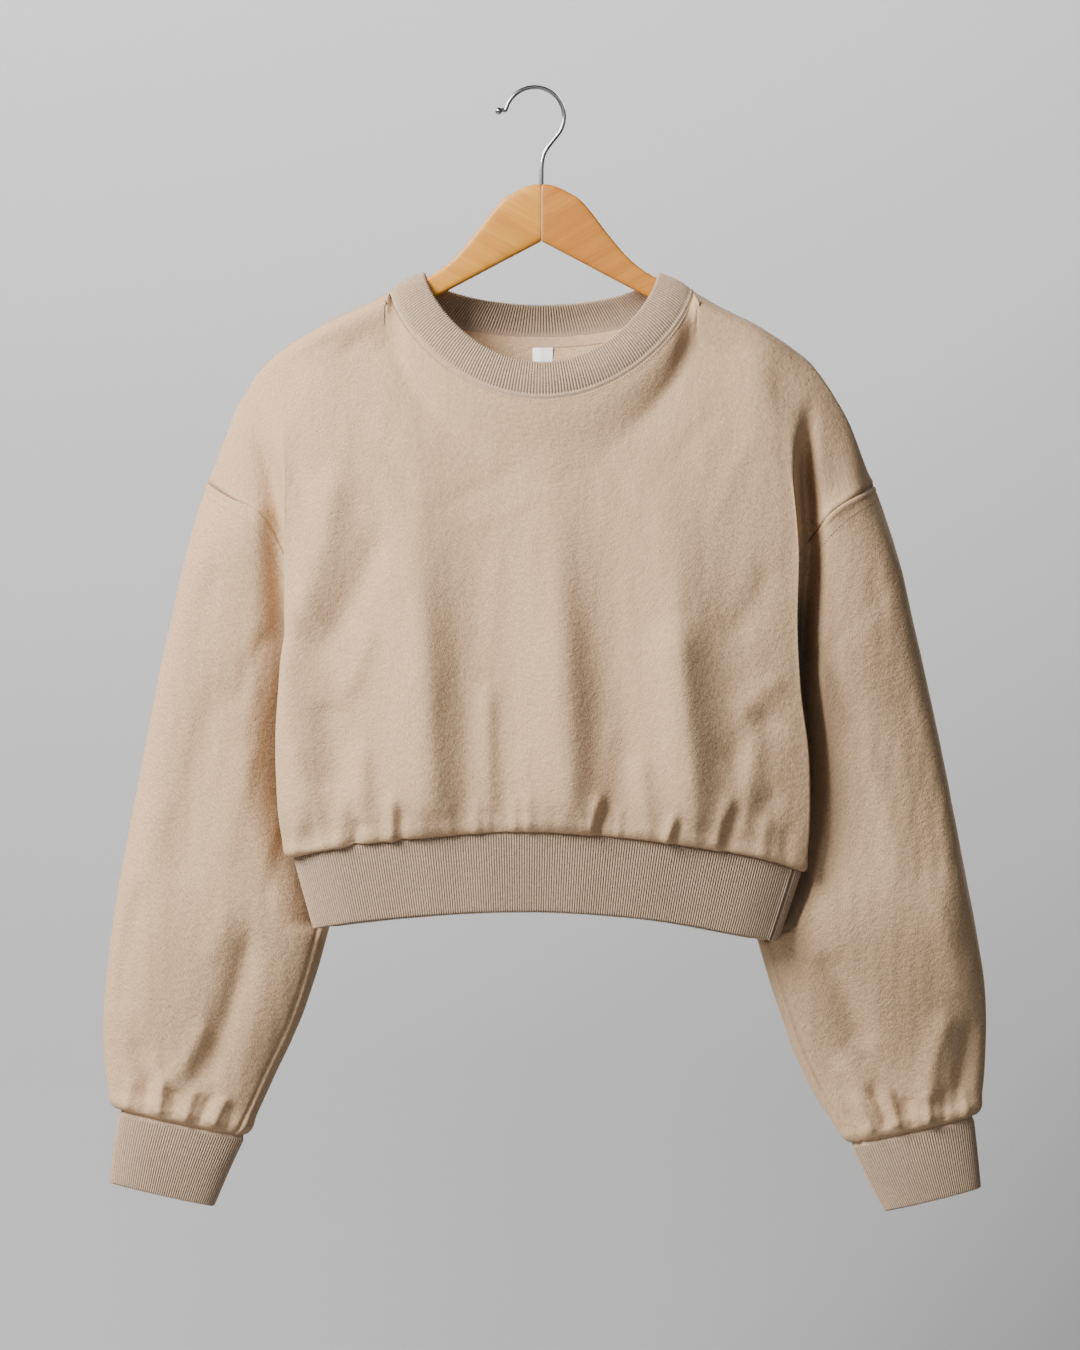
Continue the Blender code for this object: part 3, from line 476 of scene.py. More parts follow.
def panel_guides(side, hand, v, tops):
    """Guide points across half a panel at height share v, from the centre to its side."""
    front = side == "front"
    guides = []
    edge_drop = mix(206.6, 616.0, v)
    edge_x = float(BODY.at(hand if front else "back_" + hand, edge_drop))
    for s, start in zip(KNOTS, tops):
        face = float(BODY.at("chest" if front else "back", edge_drop))
        reach = np.interp(s, (0, 0.21, 0.42, 0.62, 0.7), (0, 0.30, 0.58, 0.84, 1))
        hem_x = mix(CENTRE_X, edge_x, reach)
        if s == 1.0:
            guides.append(panel_side(side, hand, v)[0])
        elif s < 0.7:
            x = mix(start[0], hem_x, ease(v * 1.25))
            drop = mix(start[2], float(HEM.at("top", hem_x)), v)
            lens = 1 - 0.16 * (abs(x - CENTRE_X) / 205) ** 3
            face = float(BODY.at("chest" if front else "back", drop)) * lens
            if front:
                face = min(face, start[1] - 8)
            reach_down = mix(45, 4.5, min(s / NECK_SHARE, 1))
            fall = 1 - math.exp(-(drop - start[2]) / reach_down)
            guides.append((x, mix(start[1], face, fall), drop))
        elif s == EDGE_SHARE:
            deep = float(BODY.at("edge", edge_drop)) if front else face * 0.6
            guides.append((edge_x, mix(start[1], deep, swell(v * 5)),
                           mix(start[2], float(HEM.at("top", hem_x)), v)))
        else:
            seam = panel_side(side, hand, v)[0]
            inward = -1 if hand == "right" else 1
            tuck = ease((v - 0.03) * 5) * (1 - ease((v - 0.30) * 4))
            x = mix(edge_x, seam[0], 0.5) + inward * (6 if front else 3) * tuck
            drop = mix(mix(start[2], float(HEM.at("top", edge_x)), v), seam[2], 0.5)
            deep = float(BODY.at("edge", edge_drop)) if front else face * 0.6
            y = mix(deep, seam[1], 0.5) + (8 if front else -4) * tuck
            guides.append((mix(start[0], x, ease(v * 6)), mix(start[1], y, swell(v * 5)),
                           mix(start[2], drop, ease(v * 6 + 0.2))))
    return guides


def spread_top(side, hand, shares):
    """How far columns near the neck point move sideways, so that they are evenly far apart."""
    fine = np.linspace(-0.3, 1.0, 261)
    value = np.sign(fine) * (panel_top(side, hand, np.abs(fine))[:, 0] - CENTRE_X)
    weight = np.exp(-((shares[:, None] - fine[None]) / 0.055) ** 2)
    shift = weight @ value / weight.sum(1) + CENTRE_X - panel_top(side, hand, shares)[:, 0]
    return shift * (1 - ease((shares - 0.56) * 10))


def rounded(line, shares, v):
    """A row of the panel, softened where the cloth turns back at its edge."""
    if len(line) < COARSE:
        return line
    soft = line.copy()
    for _ in range(7):
        soft[1:-1] = (soft[:-2] + 2 * soft[1:-1] + soft[2:]) / 4
    near = ease((shares - 0.66) * 16) * (1 - ease((shares - 0.92) * 16)) * ease(v * 12)
    return mix(line, soft, near[:, None])


def half_panel(side, hand, shares, rows):
    """Points of half a panel, a row for each height share, without its folds."""
    tops = panel_top(side, hand, np.array(KNOTS))
    top = panel_top(side, hand, shares)
    rest = top - spline(KNOTS, tops, shares)
    spread = spread_top(side, hand, shares)
    # Columns near the neck point never run back over their neighbours. This takes the shares to
    # rise; on_back gives those of the left side falling, and its strips come out too far.
    away = -1 if hand == "left" else 1
    inner = int(np.searchsorted(shares, 0.6))
    least = LEAST_STEP * np.arange(inner)
    grid = []
    for v in rows:
        line = spline(KNOTS, panel_guides(side, hand, v, tops), shares)
        line = line + rest * (1 - ease(v * 60))
        line[:, 0] += spread * ease(v * 60) * (1 - ease(v * 1.25))
        line[:inner, 0] = away * (np.maximum.accumulate(away * line[:inner, 0] - least) + least)
        line = rounded(line, shares, v)
        line[:, 2] += (HEM.at("top", line[:, 0]) - line[:, 2]) * ease((v - 0.8) * 5)
        grid.append(line)
    return np.array(grid)


def sleeve_ring(table, share, angle):
    """Points of a sleeve or cuff section; angle 0 is the outer edge, a quarter turn the front."""
    outer = points(table.at("outer_x", share), 0, table.at("outer_drop", share))
    inner = points(table.at("inner_x", share), 0, table.at("inner_drop", share))
    middle, reach = (outer + inner) / 2, (outer - inner) / 2
    depth = table.at("y", share) - table.at("half_depth", share) * signed_power(np.sin(angle), 0.8)
    ring = middle + reach * np.cos(angle)[..., None]
    ring[..., 1] = depth
    return ring


def beyond_edge(hand, grid):
    """How far each point lies outside the turned edge of the body, or the waistband's below it."""
    drop = grid[..., 2]
    edge = np.abs(BODY.at(hand, drop)) - 0.33 * np.maximum(drop - 618, 0)
    edge -= 1.6 * np.maximum(drop - 668, 0)
    return np.abs(grid[..., 0]) - edge


def puff(hand, grid, front, share):
    """How far forward a sleeve lies where it is clear of the turned edge of the body."""
    beyond = beyond_edge(hand, grid)
    if hand == "left":
        clear = 0.66 * ease((beyond + 34) / 62)
    else:
        sharp = ease((beyond - PUFF_GAP) / PUFF_RISE)
        clear = mix(ease((beyond + 30) / 70), sharp, ease(0.5 + front))
    along = (1 - np.exp(-(share / 0.13) ** 1.2)) * ease((0.94 - share) / 0.34)
    return PUFF * along * clear * (0.5 + 0.5 * ease(0.5 + front * 0.7))


def valley(x, drop):
    """How far back the cloth falls beside the turned edge of the front, above the armpit."""
    left = x < CENTRE_X
    edge = np.where(left, -BODY.at("left", drop), BODY.at("right", drop))
    centre = np.where(left, mix(13, 5, ease((drop - 247) / 100)), 8)
    gap = (np.abs(x) - edge - centre) / np.where(left, 10.0, 7.0)
    return np.where(left, 0.5, 1.6) * VALLEY * np.exp(-gap ** 2) * ease((drop - 238) / 60)


def sleeve_points(hand, turns, shares):
    """Points of a sleeve, a row for each share of its length, without its folds."""
    table = LEFT_SLEEVE if hand == "left" else RIGHT_SLEEVE
    first = table.keys[0]
    run = np.where(turns <= 0.5, turns * 2, 2 - turns * 2) * ARM_SHARE
    start = np.where((turns <= 0.5)[:, None], panel_side("front", hand, run),
                     panel_side("back", hand, run))
    turn, share = np.meshgrid(turns, shares)
    ring = sleeve_ring(table, np.maximum(share, first), turn * 2 * math.pi)
    end = sleeve_ring(table, np.full_like(turns, first), turns * 2 * math.pi)
    after = sleeve_ring(table, np.full_like(turns, first + 0.08), turns * 2 * math.pi)
    slope = (after - end) / 0.08 * first
    t = np.minimum(share / first, 1)[..., None]
    lead = start + (end - start) * t + (t * t - t) * (slope - (end - start)) * 0.55
    grid = np.where(t < 1, lead, ring)
    front = np.sin(turn * 2 * math.pi)
    fall = valley(grid[..., 0], grid[..., 2]) * (1 - ease(share / 0.2)) * (front >= 0)
    grid[..., 1] += fall - puff(hand, grid, front, share)
    return grid


def outward(grid, closed):
    """The direction away from the surface at each point of a grid, up to its sign."""
    across = np.gradient(grid, axis=1)
    if closed:
        across[:, 0] = across[:, -1] = (grid[:, 1] - grid[:, -2]) / 2
    normal = np.cross(across, np.gradient(grid, axis=0))
    return normal / np.maximum(np.linalg.norm(normal, axis=-1, keepdims=True), 1e-9)


def distance(grid, axis, from_end=False):
    """How far each point lies from the first or last line of its grid, in millimetres."""
    steps = np.linalg.norm(np.diff(grid, axis=axis), axis=-1)
    pad = np.zeros_like(np.take(steps, [0], axis=axis))
    run = np.cumsum(np.concatenate([pad, steps], axis), axis)
    return np.take(run, [-1], axis=axis) - run if from_end else run


def dip(away, half):
    return np.exp(-(away / half) ** 2)


# ---- meshes -----------------------------------------------------------------------------------
def show(name, data, material):
    """An object of the visual that hangs with the garment."""
    data.materials.append(material)
    piece = bpy.data.objects.new(name, data)
    bpy.context.scene.collection.objects.link(piece)
    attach(piece, "root")
    return piece


def surface(name, grid, normals, material, closed=False, thick=0.0, painted_shade=None):
    """A smooth sheet through a grid of points; closed joins its last column to its first."""
    rows, columns = grid.shape[:2]
    mesh = bmesh.new()
    bmesh.ops.create_grid(mesh, x_segments=columns - 1, y_segments=rows - 1, size=1.0)
    mesh.verts.ensure_lookup_table()
    weave = mesh.loops.layers.uv.new("weave")
    across, along = distance(grid, 1), distance(grid, 0)
    # Painted shade: each point keeps how far the material darkens its colour where shade falls.
    sunk = mesh.verts.layers.float.new("painted_shade")
    spot = {}
    for vert in mesh.verts:
        i = round((vert.co.x + 1) / 2 * (columns - 1))
        j = round((vert.co.y + 1) / 2 * (rows - 1))
        spot[vert.index] = (j, i)
        x, y, drop = grid[j, i]
        vert[sunk] = 0.0 if painted_shade is None else painted_shade[j, i]
        vert.co = (x * MM, y * MM, -drop * MM)
    for face in mesh.faces:
        for loop in face.loops:
            j, i = spot[loop.vert.index]
            loop[weave].uv = (across[j, i] * MM, along[j, i] * MM)
    mesh.normal_update()
    j, i = rows // 2, columns // 4
    middle = Vector(normals[j, i]) * Vector((1, 1, -1))
    near = min(mesh.verts, key=lambda v: abs(spot[v.index][0] - j) + abs(spot[v.index][1] - i))
    if near.normal.dot(middle) < 0:
        bmesh.ops.reverse_faces(mesh, faces=mesh.faces)
    if closed:
        bmesh.ops.remove_doubles(mesh, verts=mesh.verts, dist=1e-6)
    data = bpy.data.meshes.new(name)
    mesh.to_mesh(data)
    mesh.free()
    data.shade_smooth()
    piece = show(name, data, material)
    if thick:
        shell = piece.modifiers.new("thickness", "SOLIDIFY")
        shell.thickness = thick * MM
        shell.offset = -1.0
        shell.use_even_offset = False
    return piece


def stitches(name, path, normals, material, pitch=2.9, length=2.2, radius=0.28):
    """A row of sewn stitches that lies on a path of points."""
    steps = np.linalg.norm(np.diff(path, axis=0), axis=1)
    run = np.concatenate([[0], np.cumsum(steps)])
    mesh = bmesh.new()
    for k in range(int(run[-1] / pitch)):
        at = (k + 0.5) * pitch
        point, ahead, up = (np.array([np.interp(at + shift, run, lane[:, axis])
                                      for axis in range(3)])
                            for lane, shift in ((path, 0), (path, 0.5), (normals, 0)))
        way = Vector((ahead - point) * (1, 1, -1)).normalized()
        lift = Vector(up * (1, 1, -1)).normalized()
        side = way.cross(lift).normalized()
        lift = side.cross(way)
        place = Matrix((way * length / 2, side * radius, lift * radius)).transposed()
        place = Matrix.Translation(Vector(point * (1, 1, -1)) * MM) @ (place * MM).to_4x4()
        place[3][3] = 1.0
        bmesh.ops.create_icosphere(mesh, subdivisions=1, radius=1.0, matrix=place)
    data = bpy.data.meshes.new(name)
    mesh.to_mesh(data)
    mesh.free()
    data.shade_smooth()
    return show(name, data, material)


def facing(normals, away):
    """The normals, all turned over if most of them point against `away`."""
    return normals * (1 if np.sum(normals * away) > 0 else -1)


def push(grid, normals, amount):
    return grid + normals * amount[..., None]


# ---- the garment ------------------------------------------------------------------------------
def half_shares():
    """Column shares over half a panel, closer at the turned edge."""
    return np.concatenate([np.linspace(0, NECK_SHARE, 52)[:-1],
                           np.linspace(NECK_SHARE, 0.70, 30)[:-1],
                           np.linspace(0.70, 1.0, 34)])


def row_shares():
    high = np.linspace(0, 0.03, 6)[:-1]
    return np.concatenate([high, np.linspace(0.03, 0.94, 132)[:-1], np.linspace(0.94, 1.0, 22)])


def make_panel(side, cloth):
    """The front or back of the body, with its folds and what its seams do to it."""
    shares, rows = half_shares(), row_shares()
    left = half_panel(side, "left", shares, rows)[:, ::-1]
    right = half_panel(side, "right", shares, rows)[:, 1:]
    grid = np.concatenate([left, right], axis=1)
    s = np.concatenate([shares[::-1], shares[1:]])[None, :]
    v = rows[:, None]
    away = np.array([0, -1 if side == "front" else 1, 0])
    normals = facing(outward(grid, False), away)
    x, drop = grid[..., 0], grid[..., 2]
    above_hem = distance(grid, 0, from_end=True)
    below_neck = distance(grid, 0)
    edge_left, edge_right = distance(grid, 1), distance(grid, 1, from_end=True)
    front = side == "front"
    calm = ease((EDGE_SHARE + 0.06 - s) * 7) * ease((1 - v) * 9) * ease((below_neck - 3) / 45)
    low = (fold_height(FRONT_FOLDS if front else BACK_FOLDS, x, drop) - MEAN_FOLD) * calm
    low += 0.55 * ripple(x, drop, 52, 4 if front else 9) * calm * ease(v * 6)
    low += 0.25 * ripple(x, drop, 19, 5 if front else 11) * calm * ease(v * 6)
    if front:
        low += 1.5 * fold_height(widened(FRONT_GATHERS), x, drop) * ease(above_hem / 2)
    # the cloth swells over the waistband and turns in at its seam
    low += 1.8 * dip(above_hem - 8, 7) - 1.7 * dip(above_hem, 1.8)
    # the neck seam: a sunk join, a rounded allowance and the pull of the stitches
    at_neck = ease((NECK_SHARE + 0.005 - s) * 60)
    at_neck = at_neck * (1 - dip(s - NECK_SHARE, 0.035))
    low += at_neck * (0.5 * dip(below_neck - 2.4, 1.6) - 0.8 * dip(below_neck, 0.8))
    at_shoulder = ease((s - NECK_SHARE - 0.03) * 30) * (1 - ease((s - 0.97) * 40))
    low += -0.9 * at_shoulder * dip(below_neck, 1.6)
    # armhole and side seams
    for gap in (edge_left, edge_right):
        low += -1.2 * dip(gap, 1.6) + 0.5 * dip(gap - 3.5, 2.2)
    grid = push(grid, normals, low)
    if front:
        grid[..., 1] += valley(x, drop) * ease((s - EDGE_SHARE) * 14)
    piece = surface(f"panel_{side}_cloth", grid, normals, cloth, thick=FLEECE)
    return piece, grid, normals


def make_sleeve(hand, cloth):
    table = LEFT_SLEEVE if hand == "left" else RIGHT_SLEEVE
    turns = np.linspace(0, 1, 190)
    shares = np.concatenate([np.linspace(0, 0.05, 14)[:-1], np.linspace(0.05, 0.93, 122)[:-1],
                             np.linspace(0.93, 1.0, 26)])
    grid = sleeve_points(hand, turns, shares)
    middle = grid[:, :-1].mean(1, keepdims=True)
    normals = facing(outward(grid, True), grid - middle)
    x, drop = grid[..., 0], grid[..., 2]
    share, front = shares[:, None], np.sin(turns * 2 * math.pi)[None, :]
    calm = ease(share * 7) * ease((1 - share) * 16)
    reach = np.abs(front) ** 0.5
    folds, puckers = ((LEFT_FOLDS, LEFT_PUCKERS) if hand == "left"
                      else (RIGHT_FOLDS, RIGHT_PUCKERS))
    low = fold_height(folds, x, drop) * calm * reach
    low += (0.7 * ripple(x, drop, 46, 21) + 0.3 * ripple(x, drop, 17, 22)) * calm
    along, left_to_go = distance(grid, 0), distance(grid, 0, from_end=True)
    low += 1.5 * fold_height(widened(puckers), x, drop) * ease(left_to_go / 1.5) * reach
    # the sleeve blouses over its cuff
    low += 2.2 * dip(left_to_go - 9, 7) - 2.4 * dip(left_to_go, 2.2)
    # the armhole seam and the row of stitches beside it
    low += -1.3 * dip(along, 1.5) + 0.9 * dip(along - 2.4, 1.8) - 0.5 * dip(along - 4.6, 0.9)
    # the underarm seam lies just inside the sleeve's inner edge
    inner_x, inner_drop = table.at("inner_x", share), table.at("inner_drop", share)
    from_edge = np.hypot(x - inner_x, drop - inner_drop)
    seam = np.where(front > 0, dip(from_edge - 8.5, 1.1), 0)
    ridge = np.where(front > 0, dip(from_edge - 5.8, 1.7), 0)
    low += (0.8 * ridge - 1.2 * seam) * ease((share - 0.2) * 20)
    # Painted shade: the sleeve's colour darkens in the crevice beside the turned edge of the body,
    # where the body shades it.
    deep = dip(beyond_edge(hand, grid) - 1, 9) * (front > 0) * ease(share * 12)
    deep = deep * (0.9 if hand == "right" else 0.45) * ease((0.8 - share) * 5)
    grid = push(grid, normals, low)
    piece = surface(f"sleeve_{hand}_cloth", grid, normals, cloth, closed=True,
                    thick=FLEECE, painted_shade=deep)
    return piece, grid, normals


def even_turns(point, count):
    """Turns round a closed band that are equally far apart along it."""
    fine = np.linspace(0, 1, 1441)
    steps = np.linalg.norm(np.diff(point(fine, np.full_like(fine, 0.5)), axis=0), axis=1)
    run = np.concatenate([[0], np.cumsum(steps)])
    return np.interp(np.linspace(0, run[-1], count + 1), run, fine), run[-1]


RIB_PROFILE = np.array([1.0, 0.62, -0.55, 0.62])   # across one rib, its hollow at the third place
BAND_RIM_STEPS = 7


def make_band(name, point, pitch, height, thick, plain, tall, material, seed, seam=None):
    """A folded band of rib knit: up its outside, round its rim and down its inside.

    point(turns, heights) gives its outer face from seam (0) to rim (1).
    """
    _, length = even_turns(point, 8)
    ribs = round(length / pitch)
    turns, _ = even_turns(point, ribs * 4)
    outer = np.concatenate([[0, 0, 0, 0.02, 0.05], np.linspace(0.075, 1 - thick / 2 / height, 20)])
    hidden = np.zeros(len(outer))
    hidden[:2] = TUCK, TUCK / 2
    bend = np.linspace(0, math.pi, BAND_RIM_STEPS + 2)[1:-1]
    inner = outer[::-3]
    heights = np.concatenate([outer, outer[-1] + np.sin(bend) * thick / 2 / height, inner])
    depths = np.concatenate([hidden * 0.4, (1 - np.cos(bend)) * thick / 2, inner * 0 + thick])
    out_share = np.concatenate([outer * 0 + 1, np.cos(bend), inner * 0 - 1])
    up_share = np.concatenate([outer * 0, np.sin(bend), inner * 0])
    turn, high = np.meshgrid(turns, heights)
    base = point(turn, high)
    middle = base[:, :-1].mean((0, 1), keepdims=True)
    normals = facing(outward(point(turn, np.linspace(0, 1, len(heights))[:, None]
                                   * np.ones_like(turn)), True), base - middle)
    normals = normals[len(heights) // 3][None] * np.ones((len(heights), 1, 1))
    upward = base[len(outer) - 1] - base[len(outer) - 4]
    upward = upward / np.linalg.norm(upward, axis=-1, keepdims=True)
    grid = base - normals * depths[:, None, None]
    grid[:len(hidden)] -= upward * hidden[:, None, None]
    rib = np.append(np.tile(RIB_PROFILE, ribs), RIB_PROFILE[0])
    rough = 1 + 0.22 * ripple(turn * length, high * height, 37, seed)
    fade = ease((high * height - plain) / 1.4 + 0.3)
    raised = rib[None, :] * tall * rough * fade
    face = normals * out_share[:, None, None] + upward[None] * up_share[:, None, None]
    grid = grid + face * raised[..., None]
    if plain:
        up = high * height
        ridge = 0.8 * dip(up - 1.8, 1.2) - 0.6 * dip(up - plain - 0.3, 0.6)
        grid = push(grid, normals, ridge * (out_share > 0.5)[:, None])
    if seam is not None:
        away = (turn - seam) * length
        sunk = 1.3 * dip(away, 0.9) - 0.7 * dip(away - 2.6, 1.5) - 0.7 * dip(away + 2.6, 1.5)
        grid = push(grid, normals, -sunk * (out_share > 0.5)[:, None])
    slack = 0.5 * ripple(turn * length, high * height * 0.4, 64, seed + 1)
    grid = push(grid, normals, slack * ease(high * 3))
    # Painted shade: the colour darkens in the hollows between the ribs.
    piece = surface(name, grid, face, material, closed=True,
                    painted_shade=(1 - rib[None, :]) / 1.55 * fade)
    return piece, grid, normals, length


def collar_points(turn, height):
    turn, height = np.broadcast_arrays(np.asarray(turn, float), height)
    across = np.where(turn <= 0.5, turn * 2, 2 - turn * 2)
    quarter = np.where(across <= 0.5, across * 2, 2 - across * 2)
    near, far = neck_point("front", height, quarter), neck_point("back", height, quarter)
    reach, depth, drop = (np.where(turn <= 0.5, a, b) for a, b in zip(near, far))
    return points(CENTRE_X + np.where(across <= 0.5, -1, 1) * reach, depth, drop)


def hem_ring():
    """The closed line round the body on which the waistband is sewn: left to right, then back."""
    runs = []
    for side in ("front", "back"):
        halves = [half_panel(side, hand, half_shares(), [1.0])[0] for hand in ("left", "right")]
        runs.append(np.concatenate([halves[0][::-1], halves[1][1:]]))
    ring = np.concatenate([runs[0], runs[1][::-1][1:]])
    run = np.concatenate([[0], np.cumsum(np.linalg.norm(np.diff(ring, axis=0), axis=1))])
    return run / run[-1], ring


def waist_points(turn, height):
    turn, height = np.broadcast_arrays(np.asarray(turn, float), height)
    run, ring = hem_ring()
    x, y, drop = (np.interp(turn, run, ring[:, axis]) for axis in range(3))
    low_x = 8.8 + (x - 10.4) * 0.914
    low_y = -15 + (y + 15) * 0.9
    behind = np.clip((y + 15) / 36, 0, 1)
    x, y = mix(x, low_x, height), mix(y, low_y, height)
    return points(x, y, mix(drop + 0.3, HEM.at("bottom", x) + 4 * behind, height))


def cuff_points(table):
    return lambda turn, height: sleeve_ring(table, height, turn * 2 * math.pi)


def on_back(name, reach, v_top, v_low, lift, thick, columns, rows, material, curl=0.0):
    """A strip that lies on the inside of the back panel; curl lifts its lower end off the cloth."""
    shares = np.linspace(reach[0], reach[1], columns)
    levels = np.linspace(v_top, v_low, rows)
    grid = np.zeros((rows, columns, 3))
    for hand, chosen in (("left", shares < 0), ("right", shares >= 0)):
        if chosen.any():
            grid[:, chosen] = half_panel("back", hand, np.abs(shares[chosen]), levels)
    normals = facing(outward(grid, False), np.array([0, 1, 0]))
    off = FLEECE + lift + curl * np.linspace(0, 1, rows)[:, None] ** 2 * np.ones(columns)
    grid = push(grid, normals, -off)
    return surface(name, grid, -normals, material, thick=thick), grid, normals


# ---- finishes ---------------------------------------------------------------------------------
class Finish:
    """A material built up node by node."""

    def __init__(self, name, roughness=0.9, **shader):
        self.material = bpy.data.materials.new(name)
        self.material.use_nodes = True
        self.tree = self.material.node_tree
        self.shader = self.tree.nodes["Principled BSDF"]
        self.shader.inputs["Roughness"].default_value = roughness
        for socket, value in shader.items():
            self.shader.inputs[socket.replace("_", " ")].default_value = value
        self.coordinates = self.tree.nodes.new("ShaderNodeTexCoord")

    def node(self, kind, **inputs):
        made = self.tree.nodes.new("ShaderNode" + kind)
        for socket, value in inputs.items():
            target = made.inputs[socket.replace("_", " ")]
            if isinstance(value, bpy.types.NodeSocket):
                self.tree.links.new(value, target)
            else:
                target.default_value = value
        return made

    def place(self, scale, turn=(0, 0, 0), uv=False):
        """Coordinates in metres of the piece or of its cloth, turned and scaled."""
        source = self.coordinates.outputs["UV" if uv else "Object"]
        made = self.node("Mapping", Vector=source, Scale=scale, Rotation=turn)
        return made.outputs["Vector"]

    def noise(self, where, scale, detail=2.0, roughness=0.5):
        made = self.node("TexNoise", Vector=where, Scale=scale, Detail=detail,
                         Roughness=roughness)
        return made.outputs["Fac"]

    def ramp(self, value, *stops):
        """Colours or greys at places from 0 to 1."""
        made = self.node("ValToRGB", Fac=value)
        band = made.color_ramp
        for k, (spot, colour) in enumerate(stops):
            stop = band.elements[k] if k < 2 else band.elements.new(spot)
            stop.position = spot
            colour = colour if isinstance(colour, tuple) else (colour,) * 3
            stop.color = (*colour, 1.0)
        return made.outputs["Color"]

    def blend(self, share, first, second, kind="MIX"):
        made = self.tree.nodes.new("ShaderNodeMix")
        made.data_type = "RGBA"
        made.blend_type = kind
        sockets = {s.identifier: s for s in made.inputs}
        for key, value in (("Factor_Float", share), ("A_Color", first), ("B_Color", second)):
            if isinstance(value, bpy.types.NodeSocket):
                self.tree.links.new(value, sockets[key])
            elif isinstance(value, tuple):
                sockets[key].default_value = (*value, 1.0)
            else:
                sockets[key].default_value = value
        return {s.identifier: s for s in made.outputs}["Result_Color"]

    def colour(self, socket):
        self.tree.links.new(socket, self.shader.inputs["Base Color"])

    def bumps(self, *layers):
        """Fine relief: pairs of a height socket and its depth in metres."""
        normal = None
        for height, depth in layers:
            made = self.node("Bump", Height=height, Strength=1.0, Distance=depth)
            if normal is not None:
                self.tree.links.new(normal, made.inputs["Normal"])
            normal = made.outputs["Normal"]
        self.tree.links.new(normal, self.shader.inputs["Normal"])


def knit(name, light, dark, wale=900.0, fuzz=0.00022, mottle=0.5, ribbed=False):
    """Heathered cotton knit: two yarns mixed in short streaks, a soft raised face, and shade painted
    into the colour where a vertex attribute marks crevices and rib hollows.
    """
    cloth = Finish(name, 0.95, Sheen_Weight=0.08, Sheen_Roughness=0.5)
    cloth.shader.inputs["Specular IOR Level"].default_value = 0.15
    streak = cloth.noise(cloth.place((1.0, 0.42, 1.0), uv=True), 1150.0, 3.0, 0.65)
    heather = cloth.ramp(streak, (0.36, 0.0), (0.64, 1.0))
    patch = cloth.noise(cloth.place((1, 1, 1)), 26.0, 4.0, 0.6)
    base = cloth.blend(heather, dark, light)
    worn = cloth.ramp(patch, (0.3, 0.965), (0.7, 1.02))
    base = cloth.blend(mottle, base, worn, "MULTIPLY")
    slub = cloth.noise(cloth.place((0.34, 1.0, 1.0), uv=True), 420.0, 3.0, 0.7)
    base = cloth.blend(0.9, base, cloth.ramp(slub, (0.34, 0.90), (0.66, 1.07)), "MULTIPLY")
    # Painted shade: a vertex attribute darkens the colour towards `shade` in the sleeves' crevices
    # beside the body and in the hollows between the ribs.
    painted_shade = cloth.tree.nodes.new("ShaderNodeAttribute")
    painted_shade.attribute_name = "painted_shade"
    shade = (0.36, 0.40, 0.45) if ribbed else (0.17, 0.22, 0.29)
    depth = cloth.ramp(painted_shade.outputs["Fac"], (0.2, (1.0, 1.0, 1.0)), (1.0, shade))
    cloth.colour(cloth.blend(1.0, base, depth, "MULTIPLY"))
    fine = cloth.noise(cloth.place((1.0, 0.6, 1.0), uv=True), wale, 2.0, 0.6)
    coarse = cloth.noise(cloth.place((1, 1, 1)), 210.0, 3.0, 0.6)
    cloth.bumps((coarse, fuzz * 3.2), (slub, fuzz * 1.2), (fine, fuzz))
    return cloth.material


def varnished_wood(name, light, dark, tilt):
    """Fine straight grain along the arm under a satin varnish."""
    wood = Finish(name, 0.5, Coat_Weight=0.12, Coat_Roughness=0.25)
    where = wood.place((1.0, 1.0, 1.0), (0, tilt, 0))
    long = wood.node("Mapping", Vector=where, Scale=(6.0, 60.0, 95.0)).outputs["Vector"]
    rings = wood.noise(long, 1.0, 5.0, 0.62)
    fine = wood.node("Mapping", Vector=where, Scale=(40.0, 500.0, 1100.0)).outputs["Vector"]
    pores = wood.noise(fine, 1.0, 2.0, 0.5)
    base = wood.ramp(rings, (0.3, dark), (0.68, light))
    base = wood.blend(0.28, base, wood.ramp(pores, (0.35, 0.72), (0.62, 1.05)), "MULTIPLY")
    wood.colour(base)
    wood.bumps((pores, 0.00005))
    return wood.material


def plain(name, colour, roughness, **shader):
    made = Finish(name, roughness, **shader)
    made.shader.inputs["Base Color"].default_value = (*colour, 1.0)
    return made.material


def satin(name):
    """White woven satin with a faint weave."""
    cloth = Finish(name, 0.55, Sheen_Weight=0.1)
    cloth.shader.inputs["Base Color"].default_value = (0.99, 0.99, 0.985, 1.0)
    weave = cloth.noise(cloth.place((1, 1, 1), uv=True), 1600.0, 1.0)
    cloth.bumps((weave, 0.00006))
    return cloth.material


